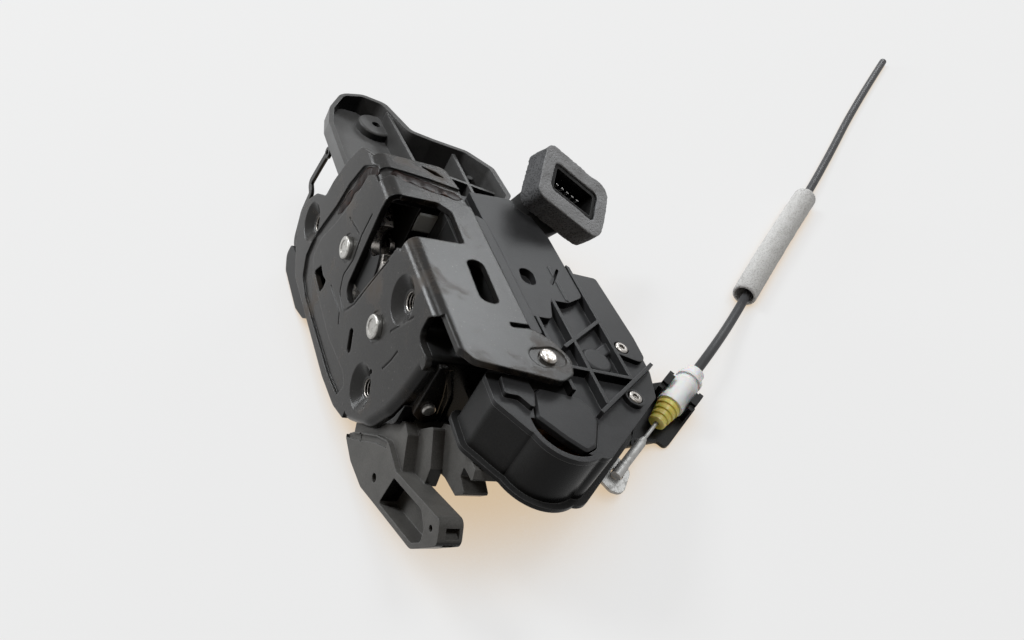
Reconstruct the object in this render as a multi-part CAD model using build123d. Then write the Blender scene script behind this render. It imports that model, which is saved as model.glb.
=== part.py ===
from build123d import *

import os
from math import atan2, cos, degrees, pi, radians, sin, tan

# Side-door latch with its central-locking drive, in millimetres.
# Everything is drawn in the latch's own axes: +X runs from the bolt face into the door, +Y runs up
# along the fold of the steel plate and +Z is the outward normal of the folded flange.  The finished
# pieces are then laid on the bench the way the unit rests there, on its guard and its cable clip.

os.makedirs("parts", exist_ok=True)

# ---------------------------------------------------------------- driving dimensions
# steel plate
SHEET = 2.4                 # thickness of the pressed plate
FOLD_RADIUS = 4.5           # outer radius of the fold
FLANGE_REACH = 34.5         # how far the flange reaches past the bolt face
FLANGE_TOP = 42.0           # upper end of the flange along the fold
FOLD_END = -49.5            # lower end of the fold, above the corner notch
PLATE_DEPTH = 81.5          # from the flange to the far edge of the bolt face
EAR_REACH = 83.5            # upper end of the bolt face, at its ear
MOUTH_WIDTH = 11.2          # striker slot at its closed end
MOUTH_SEAT = (8.5, -41.6)   # striker centre when the door is shut (y, z)
FIXING_HOLES = ((68.7, -55.7), (-26.9, -15.5), (-29.2, -56.1))
FIXING_R = 3.4              # core radius of the M8 thread
COLLAR_WALL = 2.2           # drawn collar around each thread
DISH_DEPTH = 3.0            # how deep each fixing hole is dished
DISH_R = 9.0                # rim of each dish on the outer face
COLLAR_REACH = 8.0          # inner end of the threaded collar
GROOVE_DEPTH = 0.9          # grease groove pressed round the plate
GROOVE_AT_FOLD = (26.9, 32.4)  # where the groove crosses the fold, along Y
SKIRT_DEPTH = 5.0           # depth of the skirt drawn round the lower side of the plate
SKIRT_RADIUS = 3.6          # outer radius of its bend
LINE_WIDTH = 0.8            # fine lines embossed in the bolt face
LINE_DEPTH = 0.3
TONGUE_SINK = 0.5           # how deep the tongue is coined round its rivet

# pivots and mechanism
FORK_PIVOT = (26.9, -36.3)  # (y, z)
PAWL_PIVOT = (-19.7, -35.0)
PIVOT_R = 4.0               # shank of both pivot rivets
RIVET_HEAD_R = 4.6
RIVET_HEAD = 1.9            # height of a rivet head over the plate
RIVET_SEAT_R = 6.0          # coined seat round each rivet head
RIVET_SEAT = 0.25           # depth of that seat
SMALL_RIVET_R = 2.2
SMALL_HEAD_R = 3.3
TONGUE_RIVET = (35.8, -64.2)  # (x, y)
SIDE_RIVET = (9.4, -34.6)   # (x, z)
SIDE_RIVET_R = 1.5
SIDE_HEAD_R = 2.4
RUNNING_GAP = 0.05          # radial clearance of a running fit
SIDE_GAP = 0.5              # side clearance of the fork and the pawl
FORK_THICKNESS = 5.0
FORK_OPEN = 64.0            # turn of the fork between shut and open, degrees
HOOK_R = 25.0               # reach of the fork's hook
TOOTH_R = 33.0              # reach of the two catch teeth
FORK_ROOT_R = 13.0          # hub of the fork
PAWL_HUB_R = 8.0
PAWL_LIFT = 17.0            # turn of the pawl from caught to riding on the teeth, degrees
BACK_PLATE = 2.0            # thickness of the inner steel plate
SPRING_SPACE = 3.2          # room between the fork and the inner plate
SPRING_WIRE = 1.2

# plastic housing
WALL = 2.0                  # housing walls
CHAMBER_WEB = 2.0           # floor of the mechanism chamber
LEG_THICKNESS = 24.6        # housing behind the bolt face
LEG_FAR_THICKNESS = 18.9    # the same at its far edge
CHEEK_STEP = 0.8            # how far the joint under the housing's two cheeks lies over the mouth's end
PLATE_MARGIN = 3.0          # how far the bolt face stands past the housing, which rests on the bench
SIDE_FACE = -55.6           # lower side of the housing
WING_FLOOR = -28.0          # underside of the actuator wing
WING_SPLIT = -8.0           # joint between lower shell and ribbed cover
COVER_SKIN = 1.8            # flat skin of the ribbed cover
RIB_TOP = -2.7              # height of the ribs on the cover
RIB = 1.4                   # rib thickness
STRIP_TOP = -1.2            # raised strip beside the flange
LIP = 2.4                   # lip round the underside of the wing
LIP_HEIGHT = 1.6
DRUM_CENTRE = (36.5, -87.5)
DRUM_R = 15.2               # outer radius of the gear drum
CAP_TOP = -5.0              # top of the drum's cap
NECK_EDGE = 35.0            # where the ribbed cover starts beside the flange
STRIP_WIDTH = 4.9           # raised strip between the flange and the deck
CHANNEL_BACK = 22.5         # end of the striker's way behind the bolt face
DECK_TOP = -3.0             # smooth deck of the cover
PAD_TOP = -4.2              # label pad of the cover
SWITCH_POCKET = (19.0, 52.0, -45.0, -31.0)  # low y, high y, low z, high z
SWITCH_LENGTH = 12.8
SCREW_R = 1.4
SCREW_HEAD_R = 2.7
SCREW_SEAT = -5.4
SCREW_DEPTH = 9.0
SCREW_POST_R = 3.4
COVER_SCREWS = ((78.0, -48.7), (70.8, -74.0))
COVER_RIBS = (
    ((54.9, -29), (54.9, -80)),
    ((72.3, -5), (72.3, -66)),
    ((49.0, -54.2), (73.0, -36.4)),
    ((47.0, -64.2), (73.0, -66.2)),
    ((50.5, -84.0), (87.0, -57.0)),
    ((43.2, -40), (43.2, -76)),
    ((62.0, -8), (62.0, -28)),
)

# locking drive
WHEEL_R = 11.2              # tip radius of the worm wheel
WHEEL_TEETH = 28
WHEEL_DEPTH = 1.1           # tooth depth
WHEEL_THICKNESS = 5.0
WHEEL_PIN_R = 1.4           # crank pin on the wheel
CRANK_R = 6.5               # crank radius that drives the slider
AXLE_R = 2.2
DRIVE_HEIGHT = -17.0        # height of the motor axis and of the wheel's middle
WORM_R = 3.1
WORM_LENGTH = 9.5
MOTOR_R = 7.6
MOTOR_LENGTH = 26.0
MOTOR_LEAD = 9.5            # from the wheel's centre to the driving end of the motor
MOTOR_SADDLES = (2.0, 22.0)  # saddles behind the motor's driving end
SADDLE_WIDTH = 2.0
SHAFT_R = 1.0
SLIDER_SHEET = 1.8
SLIDER_REST = 20.0          # rest under the slider, along X
LOCK_SWING = 28.0           # swing of the wheel each way, degrees
SLIDE_CLEARANCE = 0.3       # slots and guides of the slider

# cable fitting: middle of the abutment's inner end and direction of the cable
CABLE_POINT = (104.3, -61.8, -21.0)
CABLE_DIRECTION = (0.704, 0.567, 0.428)
CONDUIT_R = 2.0
ABUTMENT_R = 5.4
ABUTMENT_START = 3.0
ABUTMENT_END = 23.0
GROMMET_R = 3.4
GROMMET_START = -7.0
WIRE_R = 0.75
WIRE_BORE_R = 1.3
WIRE_TAIL = 10.0            # how far the wire reaches into the abutment
FERRULE_R = 1.9
NIPPLE_AT = -33.0           # nipple along the cable axis
NIPPLE_R = 1.5
NIPPLE_DROP = 6.6           # from the cable axis to the ball under the lever
BALL_R = 1.9
LEVER_ARM = 16.0            # from the lever's pivot to the nipple
LEVER_SHEET = 1.8
LEVER_DROP = 3.4            # lever's middle plane under the cable axis
LEVER_SWING = 20.0          # travel of the release lever, degrees
LEVER_PIN_R = 2.0
CLIP_WALL = 1.9
CLIP_BASE = 2.0
CLIP_SIDE = 8.8             # reach of the cradle's base, whose corner rests on the bench
CRADLE_GAP = 0.6            # between the abutment and the cradle's base and prongs
CRADLE_START = -9.0         # corner of the cradle's base along the cable
CRADLE_CORNER = 2.0         # its corner radius
PRONG_TOP = 3.6

# connector
SOCKET_POINT = (82.6, 27.9, 12.5)
SOCKET_NORMAL = (0.16, -0.47, 0.87)
SOCKET_ALONG = (0.93, -0.22, -0.29)
SEAL_LENGTH = 38.0
SEAL_WIDTH = 29.0
SEAL_HEIGHT = 12.0
SHROUD_LENGTH = 24.6
SHROUD_WIDTH = 13.4
SHROUD_WALL = 1.4

# arm
ARM_FLOOR = -29.0
ARM_SKIN = 2.0
ARM_REACH = 125.0           # upper end of the arm
ARM_BOSS_PLACE = (27.0, 16.0)  # boss: x, and how far below the arm's end
ARM_BOSS_R = 8.5
ARM_BOSS_RISE = 4.0
ARM_HOLE_R = 2.1

# lower bracket
BRACKET_DEPTH = 8.6         # of the pocketed wedge along X
BRACKET_TIP = -105.8        # lower end of the bracket

# outboard guard and lever
GUARD_MARGIN = 9.9          # how far the guard stands past the housing
GUARD_BASE = 0.6            # base of the guard behind the bolt face
STUD_PLACE = (76.0, 3.5)    # pivot of the outer lever: y, and how far past the housing
STUD_R = 2.0
OUTER_SHEET = 1.4

# conduit and its foam sleeve, laid on the bench: (x, y, height) before centring
CONDUIT_LEAD = 13.0         # straight start of the conduit beyond the abutment
CONDUIT_POINTS = (
    (133.7, -21.6, 5.2), (170.2, 10.6, 4.0), (209.9, 43.2, 4.0), (239.5, 69.5, CONDUIT_R),
    (280.6, 106.9, CONDUIT_R), (323.9, 142.4, CONDUIT_R),
)
SLEEVE_R = 5.6
SLEEVE_BORE_R = 4.0
SLEEVE_POINTS = ((144.1, -11.4), (169.4, 10.4), (206.6, 40.3))
FAR = 400.0                 # tools that reach past the whole unit
BEND_SHARE = 0.45           # share of the shorter run taken by each bend
BENCH_CENTRE = (30.13, 9.95)  # middle of the unit without its cable, on the bench

# derived places along X behind the bolt face
FORK_BACK = SHEET + SIDE_GAP + FORK_THICKNESS
INNER_PLATE_FRONT = FORK_BACK + SPRING_SPACE
INNER_PLATE_BACK = INNER_PLATE_FRONT + BACK_PLATE
RIVET_TAIL = INNER_PLATE_BACK + 0.9
CHAMBER_BACK = RIVET_TAIL + 0.2
LEG_BACK = SHEET + LEG_THICKNESS
# derived places along Z and in the wing
LEG_REACH = PLATE_DEPTH - PLATE_MARGIN
GUARD_DEPTH = LEG_REACH + GUARD_MARGIN
LEVER_STUD = (STUD_PLACE[0], -LEG_REACH - STUD_PLACE[1])
MOTOR_END = DRUM_CENTRE[1] + MOTOR_LEAD
STRIP_EDGE = NECK_EDGE + STRIP_WIDTH
ARM_BOSS = (ARM_BOSS_PLACE[0], ARM_REACH - ARM_BOSS_PLACE[1])


# ---------------------------------------------------------------- drawing helpers
def outline(points, radii=0.0):
    """Closed face in the XY plane of the sketch, with an arc at every corner that has a radius."""
    if isinstance(radii, (int, float)):
        radii = [radii] * len(points)
    return make_face(FilletPolyline(*points, radius=radii, close=True))


def slab_x(face, low, high):
    """Extrude a (y, z) face along X."""
    return extrude(Plane.YZ.offset(low) * face, high - low)


def slab_z(face, low, high):
    """Extrude an (x, y) face along Z."""
    return extrude(Plane.XY.offset(low) * face, high - low)


def rod_x(centre, radius, low, high):
    """Round bar along X at a (y, z) centre."""
    return slab_x(Pos(*centre) * Circle(radius), low, high)


def rod_z(centre, radius, low, high):
    """Round bar along Z at an (x, y) centre."""
    return slab_z(Pos(*centre) * Circle(radius), low, high)


def block(low, high):
    """Box between two corners."""
    size = [b - a for a, b in zip(low, high)]
    middle = [(a + b) / 2 for a, b in zip(low, high)]
    return Pos(*middle) * Box(*size)


def cone_x(centre, low, high, low_radius, high_radius):
    """Truncated cone along X at a (y, z) centre."""
    start = Plane.YZ.offset(low) * Pos(*centre) * Circle(low_radius)
    end = Plane.YZ.offset(high) * Pos(*centre) * Circle(high_radius)
    return loft([start, end])


def polar(centre, radius, angle):
    """Point at a distance and an angle in degrees round a centre."""
    return (centre[0] + radius * cos(radians(angle)), centre[1] + radius * sin(radians(angle)))


def bar(start, end, width):
    """Straight rib outline between two points."""
    length = ((end[0] - start[0]) ** 2 + (end[1] - start[1]) ** 2) ** 0.5
    angle = degrees(atan2(end[1] - start[1], end[0] - start[0]))
    middle = ((start[0] + end[0]) / 2, (start[1] + end[1]) / 2)
    return Pos(*middle) * Rot(0, 0, angle) * Rectangle(length, width)


# ---------------------------------------------------------------- outlines shared by neighbours
def plate_outline():
    """Bolt face in (y, z), running past the fold."""
    points = [
        (FLANGE_TOP, 2), (FLANGE_TOP, -2), (53.5, -6), (60, -17), (65, -31), (66.5, -40), (75.5, -45),
        (EAR_REACH, -55), (EAR_REACH - 0.5, -66), (EAR_REACH - 7.5, -73), (62, -PLATE_DEPTH),
        (0, -PLATE_DEPTH + 1), (-18, -78), (-30, -73), (-45, -60.5), (-52, -46), (-55, -35),
        (SIDE_FACE - SHEET, -14), (-46, -15), (-45.5, -6),
        (FOLD_END, -2), (FOLD_END, 2),
    ]
    radii = [0, 0, 5, 8, 8, 4, 8, 7, 7, 6, 5, 20, 12, 8, 12, 14, 20, 3, 4, 3, 0, 0]
    return outline(points, radii)


def mouth_outline(grow=0.0):
    """Striker slot in (y, z), open towards the fold."""
    seat_y, seat_z = MOUTH_SEAT
    half = MOUTH_WIDTH / 2 + grow
    bottom = seat_z - half
    points = [
        (14.4 + grow, 4), (16 + grow, -9), (seat_y + half, seat_z), (seat_y + half, bottom),
        (seat_y - half, bottom), (seat_y - half, seat_z), (-6.5 - grow, -12), (-10.5 - grow, 4),
    ]
    return outline(points, [0, 6, 0, half * 0.96, half * 0.96, 6, 6, 0])


def leg_outline(inset=0.0):
    """Housing behind the bolt face in (y, z)."""
    points = [
        (40, -SHEET), (51, -7), (57.5, -18), (62, -32), (63, -42), (61, -62), (61, -LEG_REACH),
        (-14, -LEG_REACH), (-28, -71), (-44, -58), (SIDE_FACE, -46), (SIDE_FACE, -14), (-43, -14.5),
        (-42.5, -7), (-46, -SHEET),
    ]
    shape = outline(points, [0, 5, 8, 8, 6, 3, 4, 8, 10, 8, 5, 2, 3, 3, 0])
    return offset(shape, -inset, kind=Kind.INTERSECTION) if inset else shape


def wing_outline():
    """Actuator wing in (x, y)."""
    points = [
        (24, 34), (61, 36), (67.5, 29), (71.5, 12), (72, -6), (87, -6.5), (89, -42), (88, -58),
        (83.5, -71), (47, -101.6), (21.4, -92), (12.5, -80.5), (13, -68), (24, -68),
    ]
    shape = outline(points, [0, 4, 4, 8, 2, 2, 10, 5, 4, 5, 3, 3, 2, 0])
    return shape + Pos(*DRUM_CENTRE) * Circle(DRUM_R)


def flange_outline():
    """Folded flange in (x, y) with its rounded tongue."""
    points = [
        (2.4, FLANGE_TOP), (30.5, FLANGE_TOP), (33, 29), (FLANGE_REACH, 16), (FLANGE_REACH, -49.2),
        (26.5, -49.2), (26.5, -51.6), (35, -51), (41.5, -56), (45.5, -64), (43, -71.5), (37, -75.2),
        (22, -72.6), (6, -70), (2.4, -65),
    ]
    return outline(points, [0, 4, 6, 3, 0.8, 0.8, 0.8, 5, 6, 6, 4, 5, 8, 4, 1.5])


# ---------------------------------------------------------------- steel plate
def folded_sheet():
    """L-shaped sheet, long enough for the bolt face and the flange."""
    reach, depth, inner = 60.0, PLATE_DEPTH + 8, FOLD_RADIUS - SHEET
    profile = outline(
        [(0, -depth), (0, 0), (reach, 0), (reach, -SHEET), (SHEET, -SHEET), (SHEET, -depth)],
        [0, FOLD_RADIUS, 0, 0, inner, 0],
    )
    length = 180.0
    return extrude(Plane.XZ.offset(-length / 2) * profile, length)


def groove_outline():
    """Wide groove on the bolt face, from the fold round to the far corner."""
    inner = [(GROOVE_AT_FOLD[0], 1.5), (GROOVE_AT_FOLD[0] + 1, -1.5), (37.4, -8.3), (39.4, -19.5), (46.8, -39.8),
             (53.1, -51.7), (53.6, -62), (46, -67), (9, -68), (-13, -64.6), (-18.5, -66.5)]
    outer = [(-17, -73.6), (-3, -76), (45, -77.6), (54.5, -75.4), (60.4, -68), (60.4, -57), (57.2, -47.5),
             (52.8, -34.9), (50, -21.7), (44.4, -8.6), (GROOVE_AT_FOLD[1] + 2, -1.5), (GROOVE_AT_FOLD[1], 1.5)]
    radii = [0, 2, 5, 8, 10, 6, 5, 6, 10, 4, 2, 2, 8, 6, 4, 4, 6, 8, 10, 8, 6, 2, 0]
    return outline(inner + outer, radii)


def fold_groove():
    """The same groove carried round the fold."""
    low, high = GROOVE_AT_FOLD
    corner = block((-1, low, -FOLD_RADIUS), (FOLD_RADIUS, high, 1))
    core = Plane.XZ.offset(-high - 1) * Pos(FOLD_RADIUS, -FOLD_RADIUS) * Circle(FOLD_RADIUS - GROOVE_DEPTH)
    return corner - extrude(core, high - low + 2)


def flange_groove():
    """The same groove across the flange, tapering open towards its edge."""
    low, high = GROOVE_AT_FOLD
    points = [(FOLD_RADIUS - 0.1, high), (11, high - 0.4), (20, 31), (36, 27.6), (36, 16.6), (18, 21.6),
              (8, 25), (FOLD_RADIUS - 0.1, low)]
    return outline(points, [0, 8, 8, 0, 0, 8, 6, 0])


def embossed_lines():
    """Fine lines pressed in the bolt face: round the mouth, the pawl's corner and the fork's hub."""
    lines = [
        [(-6.3, -15), (-1.7, -30.1), (2.2, -43.8), (7.2, -52.4), (16.9, -50.9), (20.6, -44.9), (18.6, -35.9),
         (20.9, -25.3), (20.5, -14.4)],
        [(26.5, -55.4), (10.3, -55.0), (6.4, -58.4)],
        [(-29.6, -27.8), (-38.4, -12.6)],
        [(-39.6, -27.4), (-38.6, -33), (-36.3, -39.4)],
        [(36.8, -28.6), (28.7, -27.0), (22.6, -25.9)],
    ]
    radii = [[8, 6, 4, 4, 4, 6, 4], [2], None, [6], [8]]
    solid = None
    for points, radius in zip(lines, radii):
        path = FilletPolyline(*points, radius=radius) if radius else Line(*points)
        line = slab_x(trace(path, LINE_WIDTH), -1, LINE_DEPTH)
        solid = line if solid is None else solid + line
    return solid


def skirt_zone():
    """Lower corner of the bolt face, in (y, z), where its edge is drawn down into a skirt."""
    return make_face(Polyline((-66, -18.6), (-46, -18.6), (-40, -48), (-26.5, -66), (-30.5, -84), (-66, -84),
                              close=True))


def skirt_block():
    """Skirt before it is hollowed, with its bend."""
    solid = slab_x(plate_outline() & skirt_zone(), 0, SKIRT_DEPTH)
    border = plate_outline().face().outer_wire()
    rim = []
    for edge in solid.edges().group_by(Axis.X)[0]:
        middle = edge @ 0.5
        if border.distance_to(Vertex(middle.Y, middle.Z, 0)) < 0.01:
            rim.append(edge)
    return fillet(rim, SKIRT_RADIUS)


def latch_plate():
    """Bolt face and flange pressed from one sheet."""
    blank = slab_x(plate_outline(), -1, FOLD_RADIUS) + slab_z(flange_outline(), -SHEET - 0.6, 1)
    plate = folded_sheet() & blank
    plate -= slab_x(plate_outline() & skirt_zone(), -1, SKIRT_DEPTH)
    plate += skirt_block() - slab_x(offset(plate_outline(), -SHEET), SHEET, SKIRT_DEPTH + 1)
    for centre in FIXING_HOLES:
        rise = DISH_DEPTH + SHEET
        plate += cone_x(centre, SHEET - 0.4, rise, DISH_R + 0.4, FIXING_R + COLLAR_WALL + 0.9)
        plate += rod_x(centre, FIXING_R + COLLAR_WALL, rise - 0.5, COLLAR_REACH)
        plate -= cone_x(centre, -0.01, DISH_DEPTH, DISH_R, FIXING_R + 0.9)
        plate -= rod_x(centre, FIXING_R, -1, COLLAR_REACH + 1)
    plate -= slab_x(mouth_outline(), -1, FOLD_RADIUS + 0.1)
    striker_window = outline([(-2, 14.4), (19.5, 15), (24, 10.5), (23, -9), (-2, -10.5)], [0, 2, 2, 2, 0])
    plate -= slab_z(striker_window, -8, 2)
    plate -= slab_z(outline([(20.2, -18.5), (27.4, -16.6), (26.4, -41.5), (18.9, -39.8)], 3.2), -8, 2)
    plate -= slab_z(outline([(17.5, 40), (25.5, 37.4), (29, 33.6), (24, 34.4)], 0.6), -8, 2)
    plate -= slab_x(Pos(-7.5, -53.6) * Rot(0, 0, 51) * SlotOverall(9.5, 3.6), -1, 6)
    plate -= slab_x(groove_outline(), -1, GROOVE_DEPTH)
    plate -= fold_groove()
    plate -= slab_z(flange_groove(), -GROOVE_DEPTH, 1)
    plate -= embossed_lines()
    fork_window = outline([(42.4, -58), (36.9, -59), (32.2, -58), (32, -61.6), (33.1, -65.2), (38.5, -65.2),
                           (46.2, -64.8)], [1, 4, 1, 2, 1, 4, 1.2])
    plate -= slab_x(fork_window, -1, SHEET + 1)
    plate -= rod_x((-30.8, -46.7), 1.1, -1, 1.0)
    for centre in (FORK_PIVOT, PAWL_PIVOT):
        plate -= rod_x(centre, PIVOT_R, -1, SHEET + 1)
        plate -= rod_x(centre, RIVET_SEAT_R, -1, RIVET_SEAT)
    plate -= rod_z(TONGUE_RIVET, SMALL_RIVET_R, -SHEET - 1, 1)
    plate -= slab_z(Pos(*TONGUE_RIVET) * Rot(0, 0, 12) * SlotOverall(15, 9), -TONGUE_SINK, 1)
    return plate


def side_bracket():
    """Small steel bracket riveted to the lower side of the housing."""
    near = SKIRT_DEPTH + 0.2
    face = outline([(near, -16), (8.7, -16), (12.6, -29), (14.2, -38), (12, -42.4), (8.3, -40.6), (near, -38)],
                   [0.6, 1, 6, 3, 2, 3, 1])
    sheet = extrude(Plane.XZ.offset(-SIDE_FACE) * face, SHEET)
    return sheet - side_bar(SIDE_RIVET_R, SIDE_FACE - SHEET - 1, SIDE_FACE + 1)


def side_bar(radius, low, high):
    """Round bar along Y on the axis of the side rivet."""
    bar_face = Plane.XZ.offset(-high) * Pos(*SIDE_RIVET) * Circle(radius)
    return extrude(bar_face, high - low)


def side_rivet():
    """Rivet through the side bracket, with its head outwards."""
    face = SIDE_FACE - SHEET
    head = side_bar(SIDE_HEAD_R, face - 1.6, face)
    head = fillet(head.edges().group_by(Axis.Y)[0], 0.7)
    return head + side_bar(SIDE_RIVET_R, face, SIDE_FACE + WALL - 0.2)


def tongue_rivet():
    """Domed rivet that holds the tongue of the flange to the housing."""
    seat = -TONGUE_SINK
    head = rod_z(TONGUE_RIVET, SMALL_HEAD_R, seat, seat + 1.5)
    head = fillet(head.edges().group_by(Axis.Z)[-1], 0.9)
    return head + rod_z(TONGUE_RIVET, SMALL_RIVET_R, WING_SPLIT, seat)


def pivot_rivet(centre):
    """Stepped pivot rivet from the bolt face to the inner plate."""
    head = rod_x(centre, RIVET_HEAD_R, -RIVET_HEAD, RIVET_SEAT)
    head = fillet(head.edges().group_by(Axis.X)[0], 0.6)
    head -= rod_x(centre, RIVET_HEAD_R * 0.62, -RIVET_HEAD - 1, -RIVET_HEAD + 0.3)
    tail = rod_x(centre, RIVET_HEAD_R, INNER_PLATE_BACK, RIVET_TAIL)
    return head + rod_x(centre, PIVOT_R, RIVET_SEAT, INNER_PLATE_BACK) + tail


# ---------------------------------------------------------------- fork and pawl
def closed_angle():
    """Direction from the fork's pivot to the shut striker."""
    return degrees(atan2(MOUTH_SEAT[1] - FORK_PIVOT[1], MOUTH_SEAT[0] - FORK_PIVOT[0])) % 360


def fork_profile():
    """Fork in its shut position: hook, striker jaw, primary and secondary catch teeth."""
    seat = closed_angle()
    tooth = seat + 19.5
    places = [
        (FORK_ROOT_R, 20), (FORK_ROOT_R, 60), (FORK_ROOT_R + 4, 95), (HOOK_R - 3, seat - 62),
        (HOOK_R, seat - 38), (HOOK_R, seat - 12), (26.5, seat + 12), (26.5, tooth), (TOOTH_R, tooth),
        (TOOTH_R, tooth + 11), (27.5, tooth + 20), (TOOTH_R, tooth + 20), (TOOTH_R - 1, tooth + 31),
        (24, tooth + 40), (FORK_ROOT_R + 2, tooth + 58), (FORK_ROOT_R, tooth + 95),
        (FORK_ROOT_R, tooth + 130),
    ]
    radii = [7, 5, 8, 5, 3, 1, 1, 1, 0.6, 1.5, 0.8, 0.6, 2, 5, 5, 6, 7]
    body = outline([polar(FORK_PIVOT, r, a) for r, a in places], radii)
    jaw = Pos(*MOUTH_SEAT) * Rot(0, 0, seat) * Pos(20, 0) * Rectangle(40, MOUTH_WIDTH)
    body = body - jaw - Pos(*MOUTH_SEAT) * Circle(MOUTH_WIDTH / 2)
    hub_gap = PIVOT_R + RUNNING_GAP
    return body - Pos(*FORK_PIVOT) * Circle(hub_gap)


def turned_about(shape, centre, angle):
    """Turn a solid about an X axis through a (y, z) centre."""
    return Pos(0, *centre) * Rot(angle, 0, 0) * Pos(0, -centre[0], -centre[1]) * shape


def fork():
    """Steel fork, shown open to receive the striker."""
    front = SHEET + SIDE_GAP
    return turned_about(slab_x(fork_profile(), front + 0.7, FORK_BACK - 0.7), FORK_PIVOT, -FORK_OPEN)


def fork_jacket():
    """Plastic jacket moulded on both faces of the fork, clear of the catch teeth."""
    seat = closed_angle()
    cheek = fork_profile() & Pos(*FORK_PIVOT) * Circle(HOOK_R - 1)
    cheek = cheek - Pos(*FORK_PIVOT) * Circle(PIVOT_R + 1.5)
    front = SHEET + SIDE_GAP
    both = slab_x(cheek, front, front + 0.7) + slab_x(cheek, FORK_BACK - 0.7, FORK_BACK)
    hole_at = polar(FORK_PIVOT, 20, seat - 40)
    both -= rod_x(hole_at, 2.2, 0, 20)
    return turned_about(both, FORK_PIVOT, -FORK_OPEN)


def pawl_profile():
    """Pawl in its caught position, with its toe in front of the primary tooth."""
    tooth = closed_angle() + 19.5
    toe_far = polar(FORK_PIVOT, 27.4, tooth - 0.8)
    toe_near = polar(FORK_PIVOT, 27.4, tooth - 6.6)
    arm_far = polar(FORK_PIVOT, 35.5, tooth - 0.6)
    arm_near = polar(FORK_PIVOT, 33.5, tooth - 9.5)
    hub_y, hub_z = PAWL_PIVOT
    arm = outline([toe_far, toe_near, arm_near, (hub_y + 5, hub_z + 5.5), (hub_y - 4, hub_z - 6.5),
                   (hub_y + 7, hub_z - 12), arm_far], [0.5, 0.5, 2, 2, 2, 3, 1])
    tail = outline([(hub_y - 5, hub_z + 5), (hub_y + 7, hub_z + 2), (hub_y + 8.4, hub_z + 17.5),
                    (hub_y + 3.4, hub_z + 18)], 2)
    body = arm + tail + Pos(hub_y, hub_z) * Circle(PAWL_HUB_R)
    return body - Pos(hub_y, hub_z) * Circle(PIVOT_R + RUNNING_GAP)


def pawl():
    """Steel pawl, shown riding clear of the open fork's teeth."""
    front = SHEET + SIDE_GAP
    return turned_about(slab_x(pawl_profile(), front, FORK_BACK), PAWL_PIVOT, -PAWL_LIFT)


def wire_ring(centre, radius, middle):
    """One closed coil of spring wire round an X axis."""
    ring = Pos(*centre) * (Circle(radius + SPRING_WIRE / 2) - Circle(radius - SPRING_WIRE / 2))
    return slab_x(ring, middle - SPRING_WIRE / 2, middle + SPRING_WIRE / 2)


def coil_spring(centre, radius, leg_angle):
    """Torsion spring round a pivot: two coils and a leg that reaches outwards."""
    last = INNER_PLATE_FRONT - SPRING_WIRE / 2
    leg = bar(polar(centre, radius, leg_angle), polar(centre, radius + 9, leg_angle), SPRING_WIRE)
    spring = slab_x(leg, last - SPRING_WIRE / 2, INNER_PLATE_FRONT)
    for turn in range(2):
        spring += wire_ring(centre, radius, last - turn * SPRING_WIRE)
    return spring


def inner_plate():
    """Steel plate behind the fork and the pawl that carries the rivets' inner ends."""
    points = [(44, -24), (44, -62), (-2, -66), (-33, -48), (-33, -22), (-8, -20), (-8, -28), (3, -52),
              (14.5, -52), (17, -24)]
    face = outline(points, [8, 10, 12, 8, 6, 2, 2, 3, 3, 3])
    for centre in (FORK_PIVOT, PAWL_PIVOT):
        face -= Pos(*centre) * Circle(PIVOT_R)
    face -= mouth_outline(0.6)
    for centre in FIXING_HOLES:
        face -= Pos(*centre) * Circle(FIXING_R + 2.6)
    return slab_x(face, INNER_PLATE_FRONT, INNER_PLATE_BACK)


def striker_buffer():
    """Pale rubber buffer that stops the striker at the top of the mouth."""
    face = outline([(14.9, -6), (21, -6), (21, -15), (15.2, -15)], 1.2)
    return slab_x(face, CHAMBER_BACK + 0.8, CHANNEL_BACK)


# ---------------------------------------------------------------- housing
def striker_channel():
    """Free way of the striker through the housing, along X behind the mouth."""
    return slab_x(mouth_outline(-0.2), SHEET - 1, CHANNEL_BACK)


def leg_shell():
    """Housing behind the bolt face with the chamber of the mechanism."""
    far = SHEET + LEG_FAR_THICKNESS
    points = [(SHEET, 4), (LEG_BACK, 4), (LEG_BACK, -46), (far, -70), (far, -90), (SHEET, -90)]
    length = 160.0
    side_view = extrude(Plane.XZ.offset(-length / 2) * outline(points, [0, 0, 6, 6, 0, 0]), length)
    leg = slab_x(leg_outline(), SHEET, LEG_BACK) & side_view
    leg -= slab_x(leg_outline(WALL), SHEET - 1, CHAMBER_BACK)
    leg -= slab_x(skirt_band(), SHEET - 1, SKIRT_DEPTH + 0.2)
    leg -= side_groove()
    return leg - switch_pocket() - side_bar(SIDE_RIVET_R, SIDE_FACE - 1, SIDE_FACE + WALL + 1)


def skirt_band():
    """Room for the plate's skirt in the housing's lower corner, in (y, z)."""
    return (offset(plate_outline(), 1.0) - offset(plate_outline(), -SHEET - 0.1)) & skirt_zone()


def side_groove():
    """J-shaped groove round the side bracket."""
    path = FilletPolyline((11.3, -19), (17.4, -31.7), (18.8, -42.0), (16.4, -46.6), radius=[6, 3])
    face = trace(path, 1.8)
    return extrude(Plane.XZ.offset(-SIDE_FACE - 1.1) * face, 3)


def switch_pocket():
    """Hollow for the two switches, open at the back of the housing."""
    low_y, high_y, low_z, high_z = SWITCH_POCKET
    return block((CHAMBER_BACK + CHAMBER_WEB, low_y, low_z), (LEG_BACK + 1, high_y, high_z))


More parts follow.
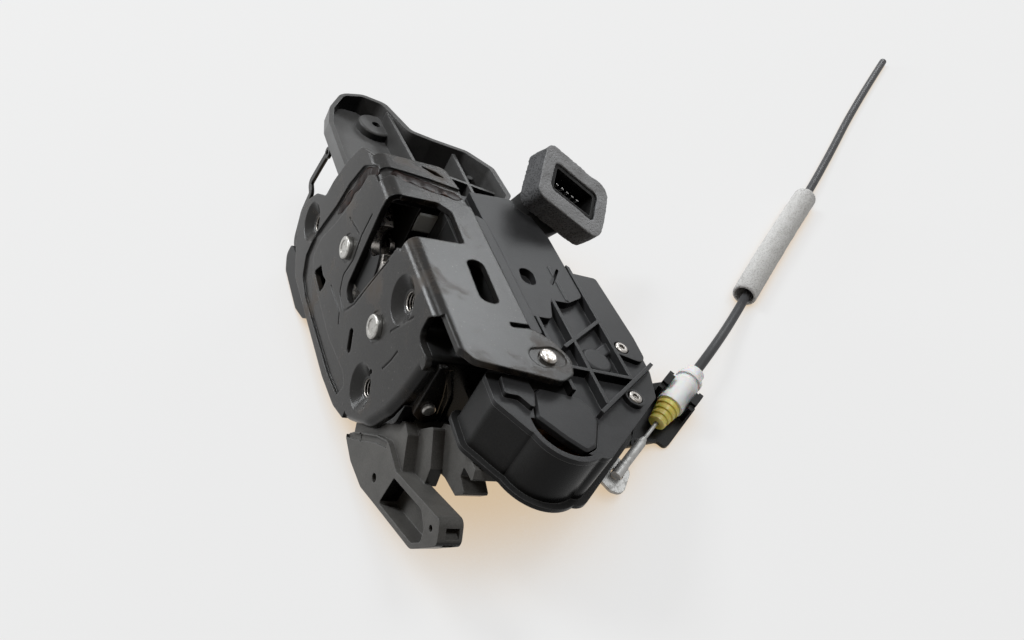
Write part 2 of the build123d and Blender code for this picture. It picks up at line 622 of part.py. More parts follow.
def wing_hollow():
    """Inside of the wing and of the gear drum, open at the top."""
    inside = offset(wing_outline(), -WALL, kind=Kind.INTERSECTION)
    keep = Pos(NECK_EDGE + WALL + FAR / 2, 0) * Rectangle(FAR, FAR)
    keep += Pos(16 + FAR / 2, -57 - FAR / 2) * Rectangle(FAR, FAR)
    return slab_z(inside & keep, WING_FLOOR + WALL, WING_SPLIT + 0.1)


def wing_shell():
    """Tray of the actuator wing with its lip, screw posts and the wheel's axle post."""
    floor = WING_FLOOR + WALL
    wing = slab_z(wing_outline(), WING_FLOOR, WING_SPLIT)
    rim = offset(wing_outline(), LIP, kind=Kind.ARC) & (Pos(0, -50 - FAR / 2) * Rectangle(FAR, FAR))
    wing += slab_z(rim, WING_FLOOR, WING_FLOOR + LIP_HEIGHT)
    wing += block((LEG_BACK - 3, -52, WING_FLOOR), (NECK_EDGE, 34, -SHEET))
    wing -= wing_hollow()
    for centre in COVER_SCREWS:
        wing += rod_z(centre, SCREW_POST_R, WING_FLOOR + 0.5, WING_SPLIT)
        wing -= rod_z(centre, SCREW_R, WING_SPLIT - SCREW_DEPTH - 0.3, WING_SPLIT + 1)
    wing += rod_z(DRUM_CENTRE, AXLE_R, floor - 0.5, wheel_top() + 2.0)
    for saddle in MOTOR_SADDLES:
        low = MOTOR_END + saddle
        wing += block((worm_axis() - 9, low, floor - 0.5), (worm_axis() + 9, low + SADDLE_WIDTH, DRIVE_HEIGHT - 2))
    wing -= motor_bar(MOTOR_R + RUNNING_GAP, MOTOR_END, MOTOR_END + MOTOR_LENGTH)
    rest_top = slider_floor() - SIDE_GAP / 2
    wing += block((SLIDER_REST, -85, floor - 0.5), (SLIDER_REST + 1.6, -76, rest_top))
    return wing + rod_z(DRUM_CENTRE, AXLE_R + 1.6, floor - 0.5, wheel_top() - WHEEL_THICKNESS - 0.2)


def lower_shell():
    """Housing behind the bolt face and the tray of the wing, before they are parted."""
    body = leg_shell() + wing_shell() + lever_boss()
    body -= striker_channel() + striker_buffer()
    body -= folded_sheet()
    window = outline([(21.5, -15), (28.5, -15), (28.5, -44), (18, -44), (18, -36)], 1)
    body -= slab_z(window, -13, 0)
    for centre in FIXING_HOLES:
        body -= rod_x(centre, DISH_R + 0.8, SHEET - 1, SHEET + DISH_DEPTH + 0.4)
        body -= rod_x(centre, FIXING_R + COLLAR_WALL + 0.6, SHEET - 1, CHAMBER_BACK + 4)
    return body


def housing_side():
    """Everything on the bolt face's side of the joint between housing and tray."""
    return block((0, SIDE_FACE, -FAR), (LEG_BACK, FAR, FAR))


def cheek_room():
    """Everything over the joint at the closed end of the striker's way."""
    return block((0, SIDE_FACE, MOUTH_SEAT[1] - MOUTH_WIDTH / 2 + CHEEK_STEP), (LEG_BACK, FAR, FAR))


def pawl_side():
    """Everything on the pawl's side of the striker's way."""
    return block((0, -FAR, -FAR), (LEG_BACK, MOUTH_SEAT[0], FAR))


def cover_outline():
    """Ribbed cover in (x, y): the wing without the neck, the drum's cap and the crescent beside it."""
    beyond = outline([(25.3, -86.2), (33, -94.4), (39, -99), (52, -104), (36, -112), (12, -96), (20, -86.2)])
    crescent = beyond & (Pos(*DRUM_CENTRE) * Circle(DRUM_R - WALL))
    face = wing_outline() - crescent
    neck = Pos(NECK_EDGE + 0.3 - FAR / 2, FAR / 2 - 53) * Rectangle(FAR, FAR)
    return face - neck - offset(cap_outline(), 0.4, kind=Kind.ARC)


def ribbed_cover():
    """Upper shell of the wing with its deck, strip, label pad and stiffening ribs."""
    skin = WING_SPLIT + COVER_SKIN
    whole = cover_outline()
    cover = slab_z(whole, WING_SPLIT, skin)
    deck_edge = STRIP_EDGE + 1.0
    deck = outline([(deck_edge, 33.5), (61, 35.5), (67, 28.5), (71, 12), (71, -24), (62, -29), (54, -29),
                    (50, -40), (deck_edge, -40)], [0, 3, 3, 6, 4, 4, 3, 3, 1])
    cover += slab_z(deck, skin, DECK_TOP)
    inner_edge = NECK_EDGE + 0.6
    strip = outline([(inner_edge, 15), (STRIP_EDGE, 11.5), (STRIP_EDGE, -52), (inner_edge, -49.5)], 1)
    cover += slab_z(strip, skin, STRIP_TOP)
    step = outline([(17.2, -70.8), (16, -78.6), (21, -79.2), (24.8, -84.4), (27.4, -77), (26.6, -71)],
                   [1, 1, 2, 1, 2, 1])
    cover += slab_z(step, skin, PAD_TOP)
    cover += slab_z(trace(tongue_fence(), 1.2) & whole, skin, RIB_TOP)
    pad = outline([(74, -7.5), (86, -8), (87.5, -42), (86.6, -56.5), (74, -52)], [1, 1.5, 8, 4, 1])
    cover += slab_z(pad, skin, PAD_TOP)
    for start, end in COVER_RIBS:
        cover += slab_z(bar(start, end, RIB) & whole, skin, RIB_TOP)
    for centre in COVER_SCREWS:
        cover += rod_z(centre, SCREW_HEAD_R + 1.2, skin, PAD_TOP)
        cover -= rod_z(centre, SCREW_R + 0.3, WING_SPLIT - 1, 0)
        cover -= rod_z(centre, SCREW_HEAD_R + 0.4, SCREW_SEAT, 0)
    cover += rod_z(TONGUE_RIVET, SMALL_HEAD_R + 1.5, skin, -SHEET)
    cover -= rod_z(TONGUE_RIVET, SMALL_RIVET_R, WING_SPLIT - 1, 0)
    cover += gear_blister()
    cover -= slab_z(Pos(48.8, -17) * Rot(0, 0, 80) * SlotOverall(9.5, 6.4), skin, 0)
    return cover - slab_z(Pos(62.5, -14) * Rot(0, 0, 55) * SlotOverall(13, 1.2), skin + 1, 0)


def tongue_fence():
    """Middle of the curved rib round the tongue of the flange."""
    points = [(39.2, -49.6), (44.9, -50.6), (48.6, -56), (49.8, -61.8), (48.8, -68.2), (44.2, -74.4)]
    return FilletPolyline(*points, radius=[3, 5, 5, 5])


def gear_blister():
    """Domed bulge over the end of the motor, between the ribs."""
    skin = WING_SPLIT + COVER_SKIN
    dome = rod_z((62.3, -57.5), 6.2, skin, skin + 2.4)
    dome = fillet(dome.edges().group_by(Axis.Z)[-1], 1.6)
    barrel = slab_z(Pos(66.5, -52.6) * Rot(0, 0, 35) * SlotOverall(17, 5), skin, skin + 1.6)
    return dome + fillet(barrel.edges().group_by(Axis.Z)[-1], 1.0)


def cap_outline():
    """Cap of the gear drum in (x, y)."""
    points = [(28.2, -76), (31.4, -73.6), (46.2, -76.2), (49.6, -80.6), (49.3, -86), (43.4, -97),
              (38.7, -99.3), (33, -94.6), (25.3, -86.4)]
    return outline(points, [1, 1, 3, 2, 3, 3, 1.5, 6, 1.5])


def drum_cap():
    """Flat cap that covers the gear drum except for a crescent at its lower left."""
    cap = slab_z(cap_outline(), WING_SPLIT, CAP_TOP)
    return chamfer(cap.edges().group_by(Axis.Z)[-1], 0.8)


def screw(centre):
    """Pan-head screw from the cover into its post."""
    head = rod_z(centre, SCREW_HEAD_R, SCREW_SEAT, SCREW_SEAT + 1.7)
    head = fillet(head.edges().group_by(Axis.Z)[-1], 0.7)
    head -= slab_z(Pos(*centre) * RegularPolygon(1.3, 6), SCREW_SEAT + 0.7, 0)
    return head + rod_z(centre, SCREW_R, WING_SPLIT - SCREW_DEPTH, SCREW_SEAT)


def switch_cover():
    """Plate over the switches at the back of the housing."""
    low_y, high_y, low_z, high_z = SWITCH_POCKET
    plate = block((LEG_BACK, low_y - 2.5, low_z - 2), (LEG_BACK + 1.6, high_y + 2.5, high_z + 1.5))
    return fillet(plate.edges().filter_by(Axis.X), 1.5)


def switches():
    """Two sealed switches in their pocket."""
    low_y, high_y, low_z, high_z = SWITCH_POCKET
    front = CHAMBER_BACK + CHAMBER_WEB
    row = []
    for low in (low_y + 1.2, high_y - 1.2 - SWITCH_LENGTH):
        body = block((front, low, low_z + 1), (front + 6.4, low + SWITCH_LENGTH, high_z - 2))
        row.append(body + block((front + 6.4, low + 3, low_z + 4), (front + 7.4, low + 6, low_z + 7)))
    return row


# ---------------------------------------------------------------- locking drive
def worm_axis():
    """X of the motor and worm axis beside the wheel."""
    return DRUM_CENTRE[0] + WHEEL_R + WORM_R + 0.3


def wheel_top():
    """Upper face of the worm wheel."""
    return DRIVE_HEIGHT + WHEEL_THICKNESS / 2


def slider_floor():
    """Underside of the slider, just over the wheel."""
    return wheel_top() + SLIDE_CLEARANCE


def motor_bar(radius, low, high):
    """Round bar along the motor axis between two places on Y."""
    face = Plane.XZ.offset(-high) * Pos(worm_axis(), DRIVE_HEIGHT) * Circle(radius)
    return extrude(face, high - low)


def lock_motor():
    """Small direct-current motor with flattened sides and a bearing nose."""
    can = motor_bar(MOTOR_R, MOTOR_END, MOTOR_END + MOTOR_LENGTH)
    flat = MOTOR_R - 0.8
    can &= block((0, -FAR, DRIVE_HEIGHT - flat), (FAR, 0, DRIVE_HEIGHT + flat))
    can += motor_bar(3.0, MOTOR_END - 1.2, MOTOR_END)
    return can - motor_bar(SHAFT_R + RUNNING_GAP, MOTOR_END - 2, MOTOR_END + 4)


def worm():
    """Motor shaft with its worm, drawn as rings of thread."""
    middle = MOTOR_END - 3.5 - WORM_LENGTH / 2
    pitch = 2 * pi * WHEEL_R / WHEEL_TEETH
    shape = motor_bar(SHAFT_R, MOTOR_END - 4, MOTOR_END + 3.7)
    shape += motor_bar(WORM_R - 0.9, middle - WORM_LENGTH / 2, middle + WORM_LENGTH / 2)
    for turn in range(-1, 3):
        place = middle + (turn - 0.5) * pitch
        shape += motor_bar(WORM_R, place - 0.5, place + 0.5)
    return shape


def lock_wheel():
    """Worm wheel with the crank pin that drives the slider."""
    step = 360 / WHEEL_TEETH
    root = WHEEL_R - WHEEL_DEPTH
    points = []
    for tooth in range(WHEEL_TEETH):
        start = tooth * step
        points += [polar((0, 0), root, start), polar((0, 0), WHEEL_R, start + 0.22 * step),
                   polar((0, 0), WHEEL_R, start + 0.5 * step), polar((0, 0), root, start + 0.72 * step)]
    face = make_face(Polyline(*points, close=True)) - Circle(AXLE_R + RUNNING_GAP)
    wheel = slab_z(Pos(*DRUM_CENTRE) * face, wheel_top() - WHEEL_THICKNESS, wheel_top())
    web = Circle(root - 1.6) - Circle(AXLE_R + 2.0)
    wheel -= slab_z(Pos(*DRUM_CENTRE) * web, wheel_top() - 1.2, wheel_top() + 1)
    pin_at = (DRUM_CENTRE[0], DRUM_CENTRE[1] + CRANK_R)
    return wheel + rod_z(pin_at, WHEEL_PIN_R, wheel_top() - 2, slider_floor() + SLIDER_SHEET + 0.6)


def lock_slider():
    """Locking slider, pushed along X by the crank pin in its cross slot."""
    middle = (DRUM_CENTRE[0], DRUM_CENTRE[1] + CRANK_R)
    drop = CRANK_R * (1 - cos(radians(LOCK_SWING)))
    face = outline([(19.6, -81.4), (22.8, -84.6), (33.2, -84.9), (40, -84.9), (40, -76.6), (33.2, -76.6),
                    (19.6, -77.2)], [1, 1, 1, 2, 2, 1, 1.5])
    width = 2 * (WHEEL_PIN_R + SLIDE_CLEARANCE)
    slot = Pos(middle[0], middle[1] - drop / 2) * Rectangle(width, drop + width)
    return slab_z(face - slot, slider_floor(), slider_floor() + SLIDER_SHEET)


def circuit_strip():
    """Flat lead frame on the floor of the wing, from the connector to the motor."""
    points = [(60, 24), (60, -8), (50, -24), (50, -46)]
    path = FilletPolyline(*points, radius=[4, 6])
    strip = trace(path, 7.0)
    floor = WING_FLOOR + WALL
    base = slab_z(strip, floor, floor + 1.0)
    for side in (-2.0, 0.0, 2.0):
        line = FilletPolyline(*[(x + side, y) for x, y in points], radius=[4, 6])
        base += slab_z(trace(line, 0.9), floor + 1.0, floor + 1.6)
    return base


# ---------------------------------------------------------------- release cable and its lever
def cable_plane(along=0.0):
    """Workplane square to the cable; its local Z is the cable and its Y points up and away."""
    x, y, z = CABLE_DIRECTION
    plane = Plane(origin=CABLE_POINT, x_dir=(-y, x, 0), z_dir=(x, y, z))
    return plane.offset(along)


def cable_bar(radius, low, high):
    """Round bar on the cable axis."""
    return extrude(cable_plane(low) * Circle(radius), high - low)


def level_plane(height):
    """Workplane in the lever's plane, at a height over the cable axis; local (x, y) = (side, cable)."""
    plane = cable_plane()
    return Plane(origin=plane.origin + plane.y_dir * height, x_dir=plane.x_dir, z_dir=-plane.y_dir)


def lever_pivot():
    """Pivot of the release lever in (side, cable) coordinates."""
    half = radians(LEVER_SWING / 2)
    return (LEVER_ARM * cos(half), NIPPLE_AT + LEVER_ARM * sin(half))


def level_bar(centre, radius, low, high):
    """Round bar square to the lever, between two heights over the cable axis."""
    return extrude(level_plane(high) * Pos(*centre) * Circle(radius), high - low)


def release_lever():
    """Bright steel lever pulled by the inside-handle cable."""
    pivot = lever_pivot()
    nipple = (0, NIPPLE_AT)
    points = [(-6.2, NIPPLE_AT - 5), (-3.5, NIPPLE_AT + 4), (4, NIPPLE_AT + 6),
              (pivot[0] + 1, pivot[1] + 6), (pivot[0] + 6.5, pivot[1]), (pivot[0] + 1, pivot[1] - 6),
              (5, NIPPLE_AT - 6), (-2, NIPPLE_AT - 7)]
    face = outline(points, [3, 3, 3, 5, 5, 5, 3, 3])
    face -= Pos(*pivot) * Circle(LEVER_PIN_R + RUNNING_GAP)
    face -= Pos(*nipple) * Circle(NIPPLE_R + 0.9)
    top = -LEVER_DROP + LEVER_SHEET / 2
    return extrude(level_plane(top) * face, LEVER_SHEET)


def lever_boss():
    """Boss under the wing that carries the release lever."""
    bottom = -LEVER_DROP + LEVER_SHEET / 2 + 0.2
    boss = level_bar(lever_pivot(), LEVER_PIN_R + 2.4, bottom, bottom + 14)
    boss &= block((0, -FAR, -FAR), (FAR, FAR, WING_FLOOR + 0.5))
    return boss - level_bar(lever_pivot(), LEVER_PIN_R, bottom - 1, bottom + 5)


def lever_pin():
    """Headed pin of the release lever."""
    bottom = -LEVER_DROP - LEVER_SHEET / 2 - 0.2
    shank = level_bar(lever_pivot(), LEVER_PIN_R, bottom, bottom + LEVER_SHEET + 5)
    return shank + level_bar(lever_pivot(), LEVER_PIN_R + 1.6, bottom - 1.4, bottom)


def inner_wire():
    """Steel wire with its crimped end and the ball that hooks under the lever."""
    wire = cable_bar(WIRE_R, -17, WIRE_TAIL)
    crimp = cable_bar(FERRULE_R, NIPPLE_AT + 3, -18)
    crimp += loft([cable_plane(-18) * Circle(FERRULE_R), cable_plane(-15.5) * Circle(WIRE_R + 0.3)])
    crimp += cable_bar(FERRULE_R + 0.2, NIPPLE_AT - 2.4, NIPPLE_AT + 3)
    pin = level_bar((0, NIPPLE_AT), NIPPLE_R, -NIPPLE_DROP, 0)
    plane = cable_plane(NIPPLE_AT)
    ball = Location(plane.origin - plane.y_dir * NIPPLE_DROP) * Sphere(BALL_R)
    return wire + crimp + pin + ball


def cable_grommet():
    """Ribbed dust grommet at the mouth of the abutment."""
    half = [(WIRE_BORE_R, GROMMET_START), (GROMMET_R - 0.6, GROMMET_START)]
    steps = 4
    pitch = (ABUTMENT_START - GROMMET_START) / steps
    for step in range(steps):
        start = GROMMET_START + step * pitch
        radius = GROMMET_R + 0.42 * step
        half += [(radius, start + 0.1 * pitch), (radius + 0.2, start + 0.55 * pitch),
                 (radius - 0.35, start + 0.7 * pitch), (radius - 0.2, start + pitch)]
    half += [(WIRE_BORE_R, ABUTMENT_START)]
    face = make_face(Polyline(*half, close=True))
    solid = revolve(Plane.XZ * face, Axis.Z)
    return cable_plane().location * solid


def cable_abutment():
    """White moulded end fitting of the conduit."""
    middle = ABUTMENT_START + 12.5
    body = cable_bar(ABUTMENT_R, ABUTMENT_START, middle)
    body += cable_bar(ABUTMENT_R - 0.9, middle, middle + 2)
    body += cable_bar(ABUTMENT_R, middle + 2, middle + 3.5)
    body += cable_bar(ABUTMENT_R - 1.4, middle + 3.5, ABUTMENT_END)
    return body - cable_bar(WIRE_BORE_R, ABUTMENT_START - 1, WIRE_TAIL + 7)


def cable_cradle():
    """Cradle on the wing that holds the abutment, with two hooked prongs."""
    inner, wall = ABUTMENT_R + CRADLE_GAP, CLIP_WALL
    outer = inner + wall
    base = outline([(-CLIP_SIDE, 14), (-CLIP_SIDE, CRADLE_START), (-4.5, CRADLE_START), (5.9, -23),
                    (13, -20), (17, -9), (17, 2), (outer, 14)], [1, CRADLE_CORNER, 2, 2, 2, 2, 2, 1])
    clip = extrude(level_plane(-inner) * base, CLIP_BASE)
    for side in (-1, 1):
        wall_face = Pos(side * (inner + wall / 2), 9.5) * Rectangle(wall, 9)
        prong = extrude(level_plane(PRONG_TOP) * wall_face, PRONG_TOP + inner + 0.5)
        hook_face = Pos(side * (inner + wall / 2 - 0.5), 9.5) * Rectangle(wall + 1.0, 5)
        clip += prong + extrude(level_plane(PRONG_TOP + 1.6) * hook_face, 2.2)
    rail = outline([(11.5, -19), (14.2, -19), (17, -9), (17, 2), (13.5, 2)], 0.8)
    clip += extrude(level_plane(3.0) * rail, 3.0 + inner + 0.5)
    for start, end in (((2, -18), (9, -3)), ((8, -20), (-4, -10))):
        clip += extrude(level_plane(-inner + 1.2) * bar(start, end, 1.0), 1.4)
    clip -= slab_z(offset(wing_outline(), LIP, kind=Kind.ARC), WING_FLOOR - 0.01, WING_SPLIT)
    return max(clip.solids(), key=lambda solid: solid.volume)


# ---------------------------------------------------------------- connector
def socket_plane(height=0.0):
    """Workplane on the mouth of the connector."""
    return Plane(origin=SOCKET_POINT, x_dir=SOCKET_ALONG, z_dir=SOCKET_NORMAL).offset(height)


def connector_body():
    """Connector shroud on its neck, moulded as one piece with the wing's corner."""
    outer = socket_plane(-SEAL_HEIGHT - 2) * RectangleRounded(SHROUD_LENGTH, SHROUD_WIDTH, 2)
    shroud = extrude(outer, SEAL_HEIGHT + 0.8)
    base = RectangleRounded(SHROUD_LENGTH + 4, SHROUD_WIDTH + 4, 3)
    flange = extrude(socket_plane(-SEAL_HEIGHT - 2) * base, 1.8)
    root = Plane(origin=(60, 25, -15), x_dir=(0.45, -0.89, 0.0), z_dir=(0.68, 0.35, 0.64))
    neck = loft([root * RectangleRounded(17, 13, 2),
                 socket_plane(-SEAL_HEIGHT - 1.6) * RectangleRounded(SHROUD_LENGTH - 2, SHROUD_WIDTH, 2)])
    cavity = RectangleRounded(SHROUD_LENGTH - 2 * SHROUD_WALL, SHROUD_WIDTH - 2 * SHROUD_WALL, 1)
    body = shroud + flange + neck
    body -= extrude(socket_plane(-SEAL_HEIGHT + 1) * cavity, SEAL_HEIGHT + 2)
    wing = slab_z(wing_outline(), WING_FLOOR - 5, DECK_TOP)
    return body - wing


def connector_pins():
    """Two rows of flat blades in the socket."""
    rows = []
    for row in (-1.8, 1.8):
        for place in range(-2, 3):
            blade = Pos(place * 3.0, row) * Rectangle(1.4, 0.6)
            rows.append(extrude(socket_plane(-SEAL_HEIGHT + 1) * blade, 6.0))
    return rows


def connector_seal():
    """Foam frame round the connector that seals it against the door's inner panel."""
    front = RectangleRounded(SEAL_LENGTH, SEAL_WIDTH, 5)
    hole = RectangleRounded(SHROUD_LENGTH + 0.6, SHROUD_WIDTH + 0.6, 2.2)
    return extrude(socket_plane(-SEAL_HEIGHT) * (front - hole), SEAL_HEIGHT)


# ---------------------------------------------------------------- arm and brackets
def arm_outline():
    """Outer edge of the arm's tray in (x, y)."""
    points = [(1.8, 44), (1.6, ARM_REACH - 26), (4.4, ARM_REACH - 13), (12, ARM_REACH), (22, ARM_REACH),
              (31, ARM_REACH - 7), (37.5, ARM_REACH - 29.5),
              (46, 89), (59, 80.5), (67.5, 67), (68.5, 46), (61, 36.4), (30, 34.4), (27.4, 44)]
    return outline(points, [0, 8, 8, 6, 6, 9, 7, 8, 8, 6, 4, 1, 1, 0])


def upper_arm():
    """Tray-shaped arm above the latch with a tall rim, a boss and a slanting rib."""
    low, high = ARM_FLOOR, -4.0
    tray = slab_z(arm_outline(), low, high)
    tray -= slab_z(offset(arm_outline(), -ARM_SKIN, kind=Kind.INTERSECTION), low + ARM_SKIN, high + 1)
    floor = low + ARM_SKIN
    tray += slab_z(bar((31, 112), (35.5, 47), 1.6), floor - 0.5, -17)
    tray += slab_z(bar((54, 81), (54, 40), 1.6), floor - 0.5, -13)
    tray += slab_z(bar((34, 62), (67, 55), 1.6), floor - 0.5, -13)
    tray += rod_z((61, 71), 1.5, floor - 0.5, -17)
    slope = Plane(origin=(8, 0, -21.2), x_dir=(0, 1, 0), z_dir=(-tan(radians(13)), 0, 1))
    tray -= extrude(slope * Rectangle(FAR, FAR), FAR)
    boss = rod_z(ARM_BOSS, ARM_BOSS_R, floor - 0.5, floor + ARM_BOSS_RISE)
    boss = fillet(boss.edges().group_by(Axis.Z)[-1], 1.2)
    tray += boss
    tray -= rod_z(ARM_BOSS, ARM_HOLE_R, low - 1, high)
    tray -= slab_x(offset(plate_outline(), 0.3, kind=Kind.ARC), -5, SHEET + 0.2)
    tray -= slab_x(offset(leg_outline(), 0.02, kind=Kind.ARC), SHEET - 1, LEG_BACK + 0.02)
    tray -= slab_z(wing_outline(), WING_FLOOR - 5, -2)
    tray = tray - block((-5, 20, -40), (NECK_EDGE + 1, 34.02, 0))
    return max(tray.solids(), key=lambda solid: solid.volume)


def lower_bracket():
    """Wedge-shaped plastic bracket below the latch, open at its face, with a slotted tip and a hook."""
    front = SHEET + 0.2
    back = front + BRACKET_DEPTH
    face = outline([(-31, -78.8), (-36.5, -71.9), (-49.6, -58.6), (-57.2, -53), (-69.5, -53.8),
                    (BRACKET_TIP + 5.4, -38.6), (BRACKET_TIP, -44.5), (BRACKET_TIP + 9.5, -59.2),
                    (-69.2, -72.2), (-56.6, -78.4), (-43, -80.4)],
                   [1.5, 5, 5, 5, 6, 3, 3, 6, 8, 6, 6])
    bracket = slab_x(face, front, back)
    pocket = outline([(-70.4, -69.6), (-70.6, -55.9), (-90.6, -46.3), (-96.6, -48.2), (-98.6, -52.4),
                      (-95.2, -57.6)], [1, 1, 2, 1.5, 2, 2])
    bracket -= slab_x(pocket, front - 1, back - WALL)
    hollow = outline([(-40, -73.4), (-52, -59.6), (-66, -57.4), (-66, -70.4), (-56, -75)], 1.5)
    bracket -= slab_x(hollow, front + WALL, back + 1)
    bracket -= rod_x((-61.0, -67.9), 1.7, front - 1, front + WALL + 1)
    bracket -= rod_x((-41.3, -69.4), 1.6, front - 1, front + 1.2)
    bracket -= rod_x((-99.1, -44.6), 1.1, front - 1, front + 1.6)
    step = outline([(-31.4, -77.0), (-36.9, -72.2), (-49.9, -59.0), (-57.2, -53.5), (-58.5, -55.2), (-51.6, -60.6),
                    (-38.6, -73.8), (-33.2, -78.6)])
    bracket -= slab_x(step, front - 1, front + 1.0)
    for height in (-46.2, -41.8):
        bracket -= block((front + 2.6, BRACKET_TIP - 2, height - 1.3), (back - 1.2, BRACKET_TIP + 6.3, height + 1.3))
    hook = slab_x(outline([(-64, -35), (-72, -28.4), (-89, -28.4), (-91, -32), (-84, -33), (-85, -36.5),
                           (-91, -38), (-88, -42.5), (-79, -44.5), (-74, -47), (-64, -50)], 0.8), 13.8, 23)
    web = slab_x(outline([(-60, -43), (-66, -35), (-76, -44), (-78, -51), (-64, -56.5), (-57, -54)], 1.0),
                 back - WALL, 13.8)
    root = slab_x(outline([(-33, -76), (-29, -69), (-44, -55), (-57, -43), (-62, -44), (-72, -56),
                           (-60, -66)], [1, 1, 1, 1, 1, 3, 3]), front + 2.2, back)
    shelf = block((9, -62, -53), (23, SIDE_FACE + 4, -43))
    leg = slab_x(offset(leg_outline(), 0.02, kind=Kind.ARC), 0, LEG_BACK + 1)
    skirt = slab_x(offset(plate_outline(), 0.05), 0, SKIRT_DEPTH + 0.2)
    whole = bracket + web + hook + shelf + root - leg - skirt
    return max(whole.solids(), key=lambda solid: solid.volume)


def outboard_guard():
    """Plastic guard along the far edge of the bolt face, with the stud of the outer lever."""
    near = -LEG_REACH
    face = outline([(33, near - 0.5), (38, 3.9 - GUARD_DEPTH), (49, -GUARD_DEPTH), (75, -GUARD_DEPTH),
                    (81, 4.4 - GUARD_DEPTH), (80, near + 1.5), (70, near + 2.5), (64, near - 0.5)],
                   [1, 4, 4, 4, 4, 3, 3, 3])
    rim = slab_x(face, 0.2, SHEET) - slab_x(offset(plate_outline(), 0.2, kind=Kind.ARC), -1, 5)
    base = slab_x(face, SHEET, SHEET + GUARD_BASE)
    base -= slab_x(offset(leg_outline(), 0.1, kind=Kind.ARC), SHEET - 1, 10)
    stud = rod_x(LEVER_STUD, STUD_R, SHEET, stud_head())
    return rim + base + stud + rod_x(LEVER_STUD, STUD_R + 1.3, stud_head(), stud_head() + 1.0)


def stud_head():
    """Where the head of the outer lever's stud starts."""
    return SHEET + GUARD_BASE + 2 * SLIDE_CLEARANCE + OUTER_SHEET


def outer_lever():
    """Cranked steel lever of the outside handle, beyond the ear of the bolt face."""
    points = [LEVER_STUD, (86.5, LEVER_STUD[1] + 3), (91.5, -66.5), (91.2, -55.5), (96.5, -53.5), (94, -43),
              (91.5, -33.5)]
    strip = trace(FilletPolyline(*points, radius=[5, 6, 1.5, 2, 6]), 3.0)
    face = strip + Pos(*LEVER_STUD) * Circle(5.0) + Pos(*points[-1]) * Circle(2.6)
    face -= Pos(*LEVER_STUD) * Circle(STUD_R + RUNNING_GAP)
    face -= Pos(*points[-1]) * Circle(1.2)
    front = SHEET + GUARD_BASE + SLIDE_CLEARANCE
    return slab_x(face, front, front + OUTER_SHEET)


# ---------------------------------------------------------------- on the bench
def cradle_foot():
    """Lowest corner of the cable cradle, one of the two places that touch the bench."""
    plane = cable_plane(CRADLE_START + CRADLE_CORNER)
    return plane.origin - plane.x_dir * CLIP_SIDE - plane.y_dir * (ABUTMENT_R + CRADLE_GAP + CLIP_BASE)


def bench_location():
    """Pose of the latch's axes on the bench: tilted on to the housing and the cradle."""
    near_x, near_z = SHEET + LEG_FAR_THICKNESS, -LEG_REACH
    far = cradle_foot()
    tilt = atan2(far.Z - near_z, far.X - near_x)
    lift = near_x * sin(tilt) - near_z * cos(tilt)
    return Pos(-BENCH_CENTRE[0], -BENCH_CENTRE[1], lift) * Rot(0, degrees(tilt), 0)


def bent_path(points):
    """Straight runs joined by arcs, with the radius of every bend."""
    vectors = [Vector(*point) for point in points]
    radii = []
    for before, corner, after in zip(vectors, vectors[1:], vectors[2:]):
        run_in, run_out = corner - before, after - corner
        half_turn = radians(run_in.get_angle(run_out)) / 2
        radii.append(BEND_SHARE * min(run_in.length, run_out.length) / tan(half_turn))
    print("bend radii", [round(radius) for radius in radii])
    return FilletPolyline(*vectors, radius=radii)


def conduit_points(bench):
    """Corners of the conduit's route on the bench, from the abutment to its bare end."""
    ends = [bench * cable_plane(along).location for along in (ABUTMENT_END, ABUTMENT_END + CONDUIT_LEAD)]
    rest = [(x - BENCH_CENTRE[0], y - BENCH_CENTRE[1], z) for x, y, z in CONDUIT_POINTS]
    return [place.position for place in ends] + rest


def sleeve_points():
    """Corners of the foam sleeve's middle line, lying on the bench."""
    return [(x - BENCH_CENTRE[0], y - BENCH_CENTRE[1], SLEEVE_R) for x, y in SLEEVE_POINTS]


def hose(points, radius, bore=0.0):
    """Round cord or tube along a bent path."""
    path = bent_path(points)
    start = Plane(origin=path @ 0, z_dir=path % 0)
    face = Circle(radius) - Circle(bore) if bore else Circle(radius)
    return sweep(start * face, path=path)


